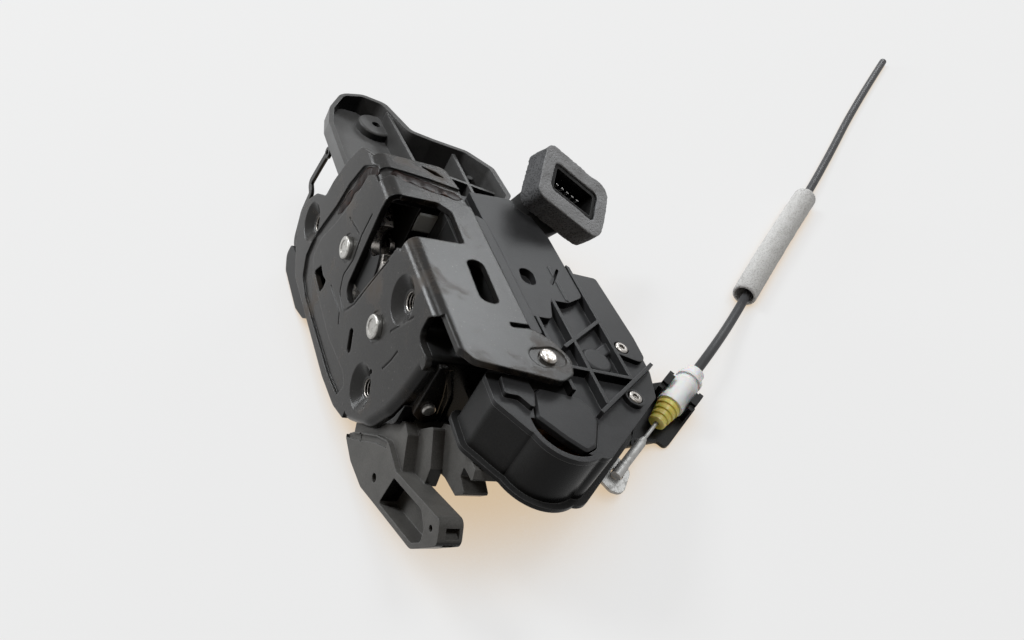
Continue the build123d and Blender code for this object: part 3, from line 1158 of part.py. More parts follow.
LOWER_SHELL = lower_shell()
LATCH_PIECES = {
    "latch_plate": latch_plate(),
    "side_bracket": side_bracket(),
    "side_rivet": side_rivet(),
    "tongue_rivet": tongue_rivet(),
    "fork_rivet": pivot_rivet(FORK_PIVOT),
    "pawl_rivet": pivot_rivet(PAWL_PIVOT),
    "fork": fork(),
    "fork_jacket": fork_jacket(),
    "pawl": pawl(),
    "fork_spring": coil_spring(FORK_PIVOT, 6.2, 150),
    "pawl_spring": coil_spring(PAWL_PIVOT, 6.2, 60),
    "inner_plate": inner_plate(),
    "striker_buffer": striker_buffer(),
    "main_housing": (LOWER_SHELL & housing_side()) - cheek_room(),
    "fork_housing": (LOWER_SHELL & cheek_room()) - pawl_side(),
    "pawl_housing": LOWER_SHELL & cheek_room() & pawl_side(),
    "wing_tray": LOWER_SHELL - housing_side(),
    "ribbed_cover": ribbed_cover(),
    "drum_cap": drum_cap(),
    "cover_screw_1": screw(COVER_SCREWS[0]),
    "cover_screw_2": screw(COVER_SCREWS[1]),
    "switch_cover": switch_cover(),
    "switch_1": switches()[0],
    "switch_2": switches()[1],
    "lock_motor": lock_motor(),
    "worm": worm(),
    "lock_wheel": lock_wheel(),
    "lock_slider": lock_slider(),
    "circuit_strip": circuit_strip(),
    "release_lever": release_lever(),
    "lever_pin": lever_pin(),
    "inner_wire": inner_wire(),
    "cable_grommet": cable_grommet(),
    "cable_abutment": cable_abutment(),
    "cable_cradle": cable_cradle(),
    "connector_body": connector_body(),
    "connector_pins": Compound(children=connector_pins()),
    "connector_seal": connector_seal(),
    "upper_arm": upper_arm(),
    "lower_bracket": lower_bracket(),
    "outboard_guard": outboard_guard(),
    "outer_lever": outer_lever(),
}
BENCH = bench_location()
for name, piece in LATCH_PIECES.items():
    export_step(BENCH * piece, f"parts/{name}.step")
export_step(hose(conduit_points(BENCH), CONDUIT_R), "parts/cable_conduit.step")
export_step(hose(sleeve_points(), SLEEVE_R, SLEEVE_BORE_R), "parts/foam_sleeve.step")
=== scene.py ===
"""Looks of a side-door latch with its central-locking drive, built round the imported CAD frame.

Sizes of the latch are given in millimetres in the latch's own axes, as a maker would read them:
X from the bolt face into the door, Y up along the fold of the steel plate, Z out of the flange.
``LatchAxes`` turns them into metres in the frame in which the unit lies on its bench.
"""

import logging
import math
from dataclasses import dataclass
from enum import Enum
from typing import Callable, Sequence

import bmesh
import bpy
from mathutils import Matrix, Vector, noise


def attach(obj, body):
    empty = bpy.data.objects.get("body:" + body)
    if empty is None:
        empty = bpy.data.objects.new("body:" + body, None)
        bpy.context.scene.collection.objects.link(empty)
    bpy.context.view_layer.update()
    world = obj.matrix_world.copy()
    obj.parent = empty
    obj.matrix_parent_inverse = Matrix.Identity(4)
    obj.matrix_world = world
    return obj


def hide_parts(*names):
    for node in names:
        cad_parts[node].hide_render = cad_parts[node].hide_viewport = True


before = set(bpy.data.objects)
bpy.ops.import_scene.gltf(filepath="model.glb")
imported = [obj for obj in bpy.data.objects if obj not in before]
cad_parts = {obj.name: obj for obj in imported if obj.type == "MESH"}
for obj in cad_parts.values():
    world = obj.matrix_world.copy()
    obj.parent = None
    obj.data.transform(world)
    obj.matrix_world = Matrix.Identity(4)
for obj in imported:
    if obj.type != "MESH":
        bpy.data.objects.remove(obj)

LOG = logging.getLogger("door_latch")
MM = 0.001
Colour = tuple[float, float, float]
Triple = tuple[float, float, float]


# ---------------------------------------------------------------- axes and small mesh tools
@dataclass(frozen=True)
class LatchAxes:
    """Pose of the latch's own axes on the bench."""

    tilt: float = math.radians(28.72485)
    lift: float = 79.07648
    centre_x: float = 30.13
    centre_y: float = 9.95

    def direction(self, x: float, y: float, z: float) -> Vector:
        """Turn a direction from the latch's axes into the bench's.

        Args:
            x: Share along the latch's X.
            y: Share along the latch's Y.
            z: Share along the latch's Z.

        Returns:
            The unit vector on the bench.
        """
        cosine, sine = math.cos(self.tilt), math.sin(self.tilt)
        return Vector((cosine * x + sine * z, y, cosine * z - sine * x)).normalized()

    def point(self, x: float, y: float, z: float) -> Vector:
        """Turn a place from the latch's axes into the bench's.

        Args:
            x: Millimetres behind the bolt face.
            y: Millimetres along the fold.
            z: Millimetres out of the flange.

        Returns:
            The place on the bench, in metres.
        """
        cosine, sine = math.cos(self.tilt), math.sin(self.tilt)
        return Vector((
            cosine * x + sine * z - self.centre_x,
            y - self.centre_y,
            cosine * z - sine * x + self.lift,
        )) * MM

    def bench(self, x: float, y: float, height: float) -> Vector:
        """Turn a place on the bench, before centring, into metres."""
        return Vector((x - self.centre_x, y - self.centre_y, height)) * MM


AXES = LatchAxes()


def mesh_object(
    name: str, verts: Sequence[Vector], faces: Sequence[Sequence[int]]
) -> bpy.types.Object:
    """Make a smooth-shaded mesh object with its normals turned outwards.

    Args:
        name: Name of the object and of its mesh.
        verts: Vertices in metres.
        faces: Vertex indices of every face.

    Returns:
        The new object, linked to the scene.
    """
    mesh = bpy.data.meshes.new(name)
    mesh.from_pydata([tuple(v) for v in verts], [], [tuple(f) for f in faces])
    work = bmesh.new()
    work.from_mesh(mesh)
    bmesh.ops.remove_doubles(work, verts=work.verts, dist=1e-7)
    bmesh.ops.recalc_face_normals(work, faces=work.faces)
    work.to_mesh(mesh)
    work.free()
    mesh.polygons.foreach_set("use_smooth", [True] * len(mesh.polygons))
    piece = bpy.data.objects.new(name, mesh)
    bpy.context.scene.collection.objects.link(piece)
    return piece


def plain_mesh(piece: bpy.types.Object) -> bpy.types.Object:
    """Replace an object's mesh by its evaluated one and drop its modifiers."""
    graph = bpy.context.evaluated_depsgraph_get()
    result = bpy.data.meshes.new_from_object(piece.evaluated_get(graph), depsgraph=graph)
    piece.modifiers.clear()
    piece.data = result
    return piece


def merged_copy(node: str, name: str) -> bpy.types.Object:
    """Copy a node of the frame with its loose triangles joined.

    Args:
        node: Name of the CAD node.
        name: Name of the copy.

    Returns:
        The copy, at the origin.
    """
    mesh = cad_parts[node].data.copy()
    mesh.name = name
    work = bmesh.new()
    work.from_mesh(mesh)
    bmesh.ops.remove_doubles(work, verts=work.verts, dist=2e-6)
    work.to_mesh(mesh)
    work.free()
    piece = bpy.data.objects.new(name, mesh)
    bpy.context.scene.collection.objects.link(piece)
    return piece


def spline_points(points: Sequence[Vector], resolution: int) -> list[Vector]:
    """Read points along the smooth NURBS line of a few control points.

    Args:
        points: Control points in metres.
        resolution: Points for each span.

    Returns:
        Points along the line, ends included.
    """
    curve = nurbs_curve("measure", points, resolution)
    probe = bpy.data.objects.new("measure", curve)
    bpy.context.scene.collection.objects.link(probe)
    graph = bpy.context.evaluated_depsgraph_get()
    mesh = bpy.data.meshes.new_from_object(probe.evaluated_get(graph), depsgraph=graph)
    line = [vertex.co.copy() for vertex in mesh.vertices]
    bpy.data.objects.remove(probe)
    bpy.data.meshes.remove(mesh)
    return line


def nurbs_curve(name: str, points: Sequence[Vector], resolution: int) -> bpy.types.Curve:
    """Make a 3-D NURBS curve of order 3 through its two end points."""
    curve = bpy.data.curves.new(name, "CURVE")
    curve.dimensions = "3D"
    curve.resolution_u = resolution
    spline = curve.splines.new("NURBS")
    spline.points.add(len(points) - 1)
    for target, place in zip(spline.points, points):
        target.co = (*place, 1.0)
    spline.order_u = 3
    spline.use_endpoint_u = True
    return curve


def rings_along(
    line: Sequence[Vector], radius: Callable[[int, float], float], around: int
) -> list[list[Vector]]:
    """Lay rings of points square to a line, without twist from ring to ring.

    Args:
        line: Points of the middle line.
        radius: Radius in metres for a ring number and an angle in radians.
        around: Points in each ring.

    Returns:
        One list of points for each ring.
    """
    rings: list[list[Vector]] = []
    side = Vector((0.0, 0.0, 1.0))
    for index, place in enumerate(line):
        ahead = line[min(index + 1, len(line) - 1)] - line[max(index - 1, 0)]
        ahead.normalize()
        side = (side - ahead * side.dot(ahead)).normalized()
        other = ahead.cross(side)
        ring = []
        for step in range(around):
            angle = math.tau * step / around
            reach = radius(index, angle)
            ring.append(place + (side * math.cos(angle) + other * math.sin(angle)) * reach)
        rings.append(ring)
    return rings


def skin_rings(
    rings: Sequence[Sequence[Vector]], closed: bool = False
) -> tuple[list[Vector], list[list[int]]]:
    """Join rings of equal length into quads, with caps at open ends.

    Args:
        rings: Rings of points.
        closed: Whether the last ring joins the first.

    Returns:
        Vertices and faces.
    """
    around = len(rings[0])
    verts = [point for ring in rings for point in ring]
    faces: list[list[int]] = []
    spans = len(rings) if closed else len(rings) - 1
    for row in range(spans):
        first, second = row * around, (row + 1) % len(rings) * around
        for step in range(around):
            beside = (step + 1) % around
            faces.append([first + step, first + beside, second + beside, second + step])
    if not closed:
        faces.append(list(range(around)))
        faces.append([(len(rings) - 1) * around + step for step in range(around)])
    return verts, faces


# ---------------------------------------------------------------- shader effects shared by finishes
class Effect(Enum):
    """Shader node groups that several finishes use."""

    GRAIN = "fine grain"
    MOTTLE = "soft mottle"
    EDGE_ROUNDING = "edge rounding and mask"
    PORES = "open pores"
    SETTLED_AND_TOP_LIT = "settled dust"


class NodeBench:
    """Short hand for building a node tree."""

    def __init__(self, tree: bpy.types.NodeTree) -> None:
        """Keep the tree to work on."""
        self.tree = tree

    def add(self, kind: str, **settings: object) -> bpy.types.Node:
        """Add a node and set its properties and inputs.

        Args:
            kind: Node type.
            **settings: Properties by attribute name, or numbers and sockets by input name.

        Returns:
            The new node.
        """
        node = self.tree.nodes.new(kind)
        for key, value in settings.items():
            label = key.replace("_", " ")
            if hasattr(node, key):
                setattr(node, key, value)
            else:
                socket = next(s for s in node.inputs if s.name.lower() == label.lower())
                self.fill(socket, value)
        return node

    def fill(self, socket: bpy.types.NodeSocket, value: object) -> None:
        """Feed an input from another socket, or give it a value."""
        if isinstance(value, bpy.types.NodeSocket):
            self.link(value, socket)
        else:
            socket.default_value = value

    def link(self, source: bpy.types.NodeSocket, target: bpy.types.NodeSocket) -> None:
        """Connect two sockets."""
        self.tree.links.new(source, target)

    def maths(
        self, operation: str, first: object, second: object = 0.0, clamp: bool = False
    ) -> bpy.types.NodeSocket:
        """Add a maths node of sockets or numbers.

        Args:
            operation: Name of the operation.
            first: Socket or number.
            second: Socket or number.
            clamp: Whether the result stays between 0 and 1.

        Returns:
            The result.
        """
        node = self.tree.nodes.new("ShaderNodeMath")
        node.operation = operation
        node.use_clamp = clamp
        for socket, value in zip(node.inputs, (first, second)):
            self.fill(socket, value)
        return node.outputs[0]

    def blend(self, share: bpy.types.NodeSocket, first: object, second: object) -> bpy.types.NodeSocket:
        """Blend two colours by a share from 0 to 1.

        Args:
            share: Share of the second colour.
            first: Colour or socket.
            second: Colour or socket.

        Returns:
            The blended colour.
        """
        node = self.tree.nodes.new("ShaderNodeMix")
        node.data_type = "RGBA"
        self.link(share, node.inputs["Factor"])
        for socket, value in zip((node.inputs[6], node.inputs[7]), (first, second)):
            self.fill(socket, (*value, 1.0) if isinstance(value, tuple) else value)
        return node.outputs[2]

    def spread(self, value: bpy.types.NodeSocket, low: float, high: float) -> bpy.types.NodeSocket:
        """Map 0..1 to a range.

        Args:
            value: Share from 0 to 1.
            low: Result at 0.
            high: Result at 1.

        Returns:
            The mapped value.
        """
        node = self.tree.nodes.new("ShaderNodeMapRange")
        node.inputs["To Min"].default_value = low
        node.inputs["To Max"].default_value = high
        self.link(value, node.inputs["Value"])
        return node.outputs["Result"]


class EffectKit:
    """Builds each shared effect once and places it in materials."""

    def __init__(self) -> None:
        """Start with no groups."""
        self.groups: dict[Effect, bpy.types.NodeTree] = {}

    def group(self, effect: Effect) -> bpy.types.NodeTree:
        """Return an effect's node group, made at its first use."""
        if effect not in self.groups:
            makers = {
                Effect.GRAIN: self.make_grain,
                Effect.MOTTLE: self.make_mottle,
                Effect.EDGE_ROUNDING: self.make_edge_rounding,
                Effect.PORES: self.make_pores,
                Effect.SETTLED_AND_TOP_LIT: self.make_settled_and_top_lit,
            }
            self.groups[effect] = makers[effect]()
        return self.groups[effect]

    def place(self, bench: NodeBench, effect: Effect, **values: float) -> bpy.types.Node:
        """Put an effect in a material on Object coordinates.

        Args:
            bench: Node tree of the material.
            effect: Effect to place.
            **values: Values of its named inputs.

        Returns:
            The group node.
        """
        node = bench.tree.nodes.new("ShaderNodeGroup")
        node.node_tree = self.group(effect)
        if "Vector" in node.inputs:
            place = bench.add("ShaderNodeTexCoord")
            bench.link(place.outputs["Object"], node.inputs["Vector"])
        for key, value in values.items():
            node.inputs[key.capitalize()].default_value = value
        return node

    @staticmethod
    def blank(
        name: str, inputs: dict[str, float], outputs: Sequence[str], vector: bool = True
    ) -> tuple[NodeBench, bpy.types.Node, bpy.types.Node]:
        """Start a group with named sockets.

        Args:
            name: Name of the group.
            inputs: Default value of each number input.
            outputs: Names of the number outputs.
            vector: Whether the group takes a place on the surface.

        Returns:
            The node bench, the group's input node and its output node.
        """
        tree = bpy.data.node_groups.new(name, "ShaderNodeTree")
        if vector:
            tree.interface.new_socket("Vector", in_out="INPUT", socket_type="NodeSocketVector")
        for label, value in inputs.items():
            socket = tree.interface.new_socket(label, in_out="INPUT", socket_type="NodeSocketFloat")
            socket.default_value = value
        for label in outputs:
            kind = "NodeSocketVector" if label == "Normal" else "NodeSocketFloat"
            tree.interface.new_socket(label, in_out="OUTPUT", socket_type=kind)
        bench = NodeBench(tree)
        return bench, bench.add("NodeGroupInput"), bench.add("NodeGroupOutput")

    @staticmethod
    def texture(bench: NodeBench, start: bpy.types.Node, kind: str, **settings: object) -> bpy.types.Node:
        """Add a texture that takes the group's own place and scale.

        Args:
            bench: Node tree of the group.
            start: Input node of the group.
            kind: Node type of the texture.
            **settings: Properties and inputs of the texture.

        Returns:
            The texture node.
        """
        node = bench.add(kind, **settings, Vector=start.outputs["Vector"], Scale=start.outputs["Scale"])
        return node

    def make_grain(self) -> bpy.types.NodeTree:
        """Make the fine grain of mouldings and coatings."""
        bench, start, end = self.blank(Effect.GRAIN.value, {"Scale": 2200.0}, ["Value"])
        grain = self.texture(bench, start, "ShaderNodeTexNoise", detail=3.0, roughness=0.6)
        bench.link(grain.outputs[0], end.inputs["Value"])
        return bench.tree

    def make_mottle(self) -> bpy.types.NodeTree:
        """Make soft uneven patches, such as film, specks and dried oil."""
        sizes = {"Scale": 60.0, "Cover": 0.5, "Soft": 0.2}
        bench, start, end = self.blank(Effect.MOTTLE.value, sizes, ["Mask"])
        cloud = self.texture(bench, start, "ShaderNodeTexNoise", detail=5.0, roughness=0.62, distortion=0.4)
        level = bench.maths("SUBTRACT", 1.0, start.outputs["Cover"])
        above = bench.maths("SUBTRACT", cloud.outputs[0], level)
        bench.link(bench.maths("DIVIDE", above, start.outputs["Soft"], clamp=True), end.inputs["Mask"])
        return bench.tree

    def make_edge_rounding(self) -> bpy.types.NodeTree:
        """Make rounded edges and a mask that finds them."""
        sizes = {"Radius": 0.0005, "Gain": 3.0}
        bench, start, end = self.blank(Effect.EDGE_ROUNDING.value, sizes, ["Mask", "Normal"], False)
        rounded = bench.tree.nodes.new("ShaderNodeBevel")
        rounded.samples = 6
        bench.link(start.outputs["Radius"], rounded.inputs["Radius"])
        surface = bench.add("ShaderNodeNewGeometry")
        facing = bench.add("ShaderNodeVectorMath", operation="DOT_PRODUCT")
        bench.link(rounded.outputs[0], facing.inputs[0])
        bench.link(surface.outputs["Normal"], facing.inputs[1])
        turned = bench.maths("SUBTRACT", 1.0, facing.outputs["Value"])
        bench.link(bench.maths("MULTIPLY", turned, start.outputs["Gain"], clamp=True), end.inputs["Mask"])
        bench.link(rounded.outputs[0], end.inputs["Normal"])
        return bench.tree

    def make_settled_and_top_lit(self) -> bpy.types.NodeTree:
        """Make a mask for whatever faces up, uneven and finely speckled: settled dusting, and painted light from
        above.
        """
        sizes = {"Low": 0.08, "High": 0.5, "Scale": 70.0}
        bench, start, end = self.blank(Effect.SETTLED_AND_TOP_LIT.value, sizes, ["Mask"])
        surface = bench.add("ShaderNodeNewGeometry")
        split = bench.add("ShaderNodeSeparateXYZ")
        bench.link(surface.outputs["Normal"], split.inputs[0])
        # Faces that point up get the mask: settled dusting, and also painted top light.
        rise = bench.add("ShaderNodeMapRange", interpolation_type="SMOOTHSTEP", Value=split.outputs["Z"])
        bench.link(start.outputs["Low"], rise.inputs["From Min"])
        bench.link(start.outputs["High"], rise.inputs["From Max"])
        cloud = self.texture(bench, start, "ShaderNodeTexNoise", detail=6.0, roughness=0.68, distortion=0.3)
        speck = bench.add("ShaderNodeTexNoise", detail=2.0, roughness=0.7, Scale=1900.0)
        bench.link(start.outputs["Vector"], speck.inputs["Vector"])
        thick = bench.spread(cloud.outputs[0], 0.35, 1.25)
        uneven = bench.maths("MULTIPLY", thick, bench.spread(speck.outputs[0], 0.55, 1.45))
        bench.link(bench.maths("MULTIPLY", rise.outputs["Result"], uneven, clamp=True), end.inputs["Mask"])
        return bench.tree

    def make_pores(self) -> bpy.types.NodeTree:
        """Make the open cells of cut foam."""
        sizes = {"Scale": 900.0, "Size": 0.4}
        bench, start, end = self.blank(Effect.PORES.value, sizes, ["Mask", "Value"])
        cells = self.texture(bench, start, "ShaderNodeTexVoronoi", feature="F1")
        depth = bench.maths("DIVIDE", cells.outputs["Distance"], start.outputs["Size"], clamp=True)
        # Mask is 1 deep in each cell, where materials paint shade.
        bench.link(bench.maths("SUBTRACT", 1.0, depth), end.inputs["Mask"])
        bench.link(depth, end.inputs["Value"])
        return bench.tree


EFFECTS = EffectKit()


def start_material(name: str) -> tuple[bpy.types.Material, NodeBench, bpy.types.Node]:
    """Make a material with an empty Principled shader.

    Args:
        name: Name of the material.

    Returns:
        The material, its node bench and its Principled shader.
    """
    material = bpy.data.materials.new(name)
    material.use_nodes = True
    bench = NodeBench(material.node_tree)
    return material, bench, material.node_tree.nodes["Principled BSDF"]


def roughen(
    bench: NodeBench, shader: bpy.types.Node, height: bpy.types.NodeSocket, strength: float, depth: float,
    rounded: bpy.types.NodeSocket | None = None,
) -> None:
    """Give a shader a bumpy surface.

    Args:
        bench: Node tree of the material.
        shader: The Principled shader.
        height: Height that varies over the surface.
        strength: Strength of the bump.
        depth: Depth of the bump, in metres.
        rounded: Normal with rounded edges, if the piece has one.
    """
    bump = bench.add("ShaderNodeBump", strength=strength, distance=depth, Height=height)
    if rounded is not None:
        bench.link(rounded, bump.inputs["Normal"])
    bench.link(bump.outputs["Normal"], shader.inputs["Normal"])


# ---------------------------------------------------------------- finishes
@dataclass(frozen=True)
class Moulding:
    """Injection-moulded plastic with a fine satin skin, lighter where it faces up (dusting and painted top
    light) and softened edges lightened by edge rubbing and a painted highlight.
    """

    name: str
    base: Colour
    # Colour on faces that point up: dusting and painted top light.
    dust_and_top_light: Colour = (0.1, 0.099, 0.098)
    dust_and_top_light_scale: float = 70.0
    dust_and_top_light_share: float = 0.26
    smooth: float = 0.24
    rough: float = 0.46
    specular: float = 0.1
    grain: float = 1300.0
    grain_strength: float = 0.2
    grain_depth: float = 0.00012
    grain_gloss: float = 0.35
    dust_gloss: float = 0.65
    edge_radius: float = 0.00045
    # Colour of the edges: edge rubbing and a painted highlight.
    rubbed_edge_highlight: Colour = (0.2, 0.2, 0.203)
    rubbed_edge_highlight_share: float = 0.6

    def build(self) -> bpy.types.Material:
        """Build the material."""
        material, bench, shader = start_material(self.name)
        dust_and_top_light = EFFECTS.place(bench, Effect.SETTLED_AND_TOP_LIT, scale=self.dust_and_top_light_scale)
        grain = EFFECTS.place(bench, Effect.GRAIN, scale=self.grain)
        edge_group = EFFECTS.place(bench, Effect.EDGE_ROUNDING, radius=self.edge_radius, gain=2.5)
        # Faces that point up turn lighter: dusting and painted top light.
        dusted_and_top_lit = bench.maths("MULTIPLY", dust_and_top_light.outputs["Mask"], self.dust_and_top_light_share)
        colour = bench.blend(dusted_and_top_lit, self.base, self.dust_and_top_light)
        # Edges turn lighter: edge rubbing and a painted highlight.
        rubbed_highlit_edges = bench.maths("MULTIPLY", edge_group.outputs["Mask"], self.rubbed_edge_highlight_share)
        bench.link(bench.blend(rubbed_highlit_edges, colour, self.rubbed_edge_highlight), shader.inputs["Base Color"])
        grained = bench.maths("MULTIPLY", grain.outputs["Value"], self.grain_gloss)
        powdered = bench.maths("MULTIPLY", dust_and_top_light.outputs["Mask"], self.dust_gloss)
        uneven = bench.maths("ADD", grained, powdered, clamp=True)
        bench.link(bench.spread(uneven, self.smooth, self.rough), shader.inputs["Roughness"])
        shader.inputs["Specular IOR Level"].default_value = self.specular
        rounded = edge_group.outputs["Normal"]
        roughen(bench, shader, grain.outputs["Value"], self.grain_strength, self.grain_depth, rounded)
        return material


@dataclass(frozen=True)
class CoatedSteel:
    """Pressed sheet under a satin black coat, with a dried brown film, lighter where it faces up (dusting and
    painted top light), and edges worn bare that also carry a painted highlight.
    """

    name: str
    base: Colour
    film: Colour
    film_scale: float = 48.0
    film_cover: float = 0.46
    film_share: float = 0.6
    # Colour on faces that point up: dusting and painted top light.
    dust_and_top_light: Colour = (0.07, 0.068, 0.066)
    dust_and_top_light_share: float = 0.35
    bare: Colour = (0.3, 0.28, 0.26)
    # Share of bare metal on the edges: edge rubbing and a painted highlight.
    bare_edge_highlight_share: float = 0.6
    speck_share: float = 0.3
    smooth: float = 0.2
    rough: float = 0.44
    specular: float = 0.15
    edge_radius: float = 0.0008
    grain_strength: float = 0.3
    grain_depth: float = 0.00012

    def build(self) -> bpy.types.Material:
        """Build the material."""
        material, bench, shader = start_material(self.name)
        film = EFFECTS.place(bench, Effect.MOTTLE, scale=self.film_scale, cover=self.film_cover, soft=0.14)
        specks = EFFECTS.place(bench, Effect.MOTTLE, scale=900.0, cover=0.36, soft=0.1)
        grain = EFFECTS.place(bench, Effect.GRAIN, scale=2600.0)
        edge_group = EFFECTS.place(bench, Effect.EDGE_ROUNDING, radius=self.edge_radius, gain=1.6)
        dust_and_top_light = EFFECTS.place(bench, Effect.SETTLED_AND_TOP_LIT, scale=55.0)
        # Faces that point up turn lighter: dusting and painted top light.
        dusted_and_top_lit = bench.maths("MULTIPLY", dust_and_top_light.outputs["Mask"], self.dust_and_top_light_share)
        colour = bench.blend(dusted_and_top_lit, self.base, self.dust_and_top_light)
        filmed = bench.maths("MULTIPLY", film.outputs["Mask"], self.film_share)
        colour = bench.blend(filmed, colour, self.film)
        speckled = bench.maths("MULTIPLY", specks.outputs["Mask"], self.speck_share)
        colour = bench.blend(speckled, colour, self.bare)
        # Bare metal on the edges where the film lies: edge rubbing and a painted highlight.
        patchy = bench.maths("MULTIPLY", edge_group.outputs["Mask"], film.outputs["Mask"])
        bared_and_highlit = bench.maths("MULTIPLY", patchy, self.bare_edge_highlight_share)
        bench.link(bench.blend(bared_and_highlit, colour, self.bare), shader.inputs["Base Color"])
        bench.link(bench.spread(film.outputs["Mask"], self.smooth, self.rough), shader.inputs["Roughness"])
        shader.inputs["Specular IOR Level"].default_value = self.specular
        rounded = edge_group.outputs["Normal"]
        roughen(bench, shader, grain.outputs["Value"], self.grain_strength, self.grain_depth, rounded)
        return material


@dataclass(frozen=True)
class BareMetal:
    """Plated or bare metal with dull patches and fine pitting."""

    name: str
    base: Colour
    dull: Colour
    smooth: float = 0.25
    rough: float = 0.5
    dull_cover: float = 0.5
    patch_scale: float = 420.0
    edge_radius: float = 0.0003
    grain_strength: float = 0.15
    grain_depth: float = 0.0001

    def build(self) -> bpy.types.Material:
        """Build the material."""
        material, bench, shader = start_material(self.name)
        patches = EFFECTS.place(
            bench, Effect.MOTTLE, scale=self.patch_scale, cover=self.dull_cover, soft=0.16
        )
        grain = EFFECTS.place(bench, Effect.GRAIN, scale=3500.0)
        edge_group = EFFECTS.place(bench, Effect.EDGE_ROUNDING, radius=self.edge_radius, gain=2.0)
        bench.link(bench.blend(patches.outputs["Mask"], self.base, self.dull), shader.inputs["Base Color"])
        bench.link(bench.spread(patches.outputs["Mask"], self.smooth, self.rough), shader.inputs["Roughness"])
        shader.inputs["Metallic"].default_value = 1.0
        rounded = edge_group.outputs["Normal"]
        roughen(bench, shader, grain.outputs["Value"], self.grain_strength, self.grain_depth, rounded)
        return material


@dataclass(frozen=True)
class Foam:
    """Foam with open cells where it is cut and a closed skin where the piece's skin mask is 1."""

    name: str
    light: Colour
    dark: Colour
    skin: Colour
    pore_scale: float = 1100.0
    cloud_share: float = 0.35
    pore_strength: float = 0.6
    pore_depth: float = 0.0004

    def build(self) -> bpy.types.Material:
        """Build the material."""
        material, bench, shader = start_material(self.name)
        pores = EFFECTS.place(bench, Effect.PORES, scale=self.pore_scale, size=0.55)
        cloud = EFFECTS.place(bench, Effect.MOTTLE, scale=240.0, cover=0.5, soft=0.35)
        skin = bench.add("ShaderNodeAttribute", attribute_name="skin")
        # Cell hollows take the dark colour: painted shade in the open pores.
        cut = bench.blend(pores.outputs["Mask"], self.light, self.dark)
        cloudy = bench.maths("MULTIPLY", cloud.outputs["Mask"], self.cloud_share)
        cut = bench.blend(cloudy, cut, self.dark)
        bench.link(bench.blend(skin.outputs["Fac"], cut, self.skin), shader.inputs["Base Color"])
        shader.inputs["Roughness"].default_value = 0.85
        shader.inputs["Specular IOR Level"].default_value = 0.25
        roughen(bench, shader, pores.outputs["Value"], self.pore_strength, self.pore_depth)
        return material


@dataclass(frozen=True)
class SoftPlastic:
    """Glossy moulding that lets a little light through."""

    name: str
    base: Colour
    shade: Colour
    roughness: float = 0.3
    depth: float = 0.0015

    def build(self) -> bpy.types.Material:
        """Build the material."""
        material, bench, shader = start_material(self.name)
        cloud = EFFECTS.place(bench, Effect.MOTTLE, scale=160.0, cover=0.5, soft=0.4)
        edge_group = EFFECTS.place(bench, Effect.EDGE_ROUNDING, radius=0.0003, gain=2.0)
        bench.link(bench.blend(cloud.outputs["Mask"], self.base, self.shade), shader.inputs["Base Color"])
        shader.inputs["Roughness"].default_value = self.roughness
        shader.inputs["Subsurface Weight"].default_value = 0.35
        shader.inputs["Subsurface Scale"].default_value = self.depth
        bench.link(edge_group.outputs["Normal"], shader.inputs["Normal"])
        return material


@dataclass(frozen=True)
class Grease:
    """Old dark-red latch grease, wet and lumpy."""

    name: str = "latch grease"
    thick: Colour = (0.008, 0.003, 0.002)
    thin: Colour = (0.055, 0.019, 0.008)
    lump_strength: float = 0.35
    lump_depth: float = 0.0002

    def build(self) -> bpy.types.Material:
        """Build the material."""
        material, bench, shader = start_material(self.name)
        cloud = EFFECTS.place(bench, Effect.MOTTLE, scale=330.0, cover=0.47, soft=0.25)
        grain = EFFECTS.place(bench, Effect.GRAIN, scale=700.0)
        bench.link(bench.blend(cloud.outputs["Mask"], self.thick, self.thin), shader.inputs["Base Color"])
        shader.inputs["Roughness"].default_value = 0.24
        shader.inputs["Specular IOR Level"].default_value = 0.05
        roughen(bench, shader, grain.outputs["Value"], self.lump_strength, self.lump_depth)
        return material


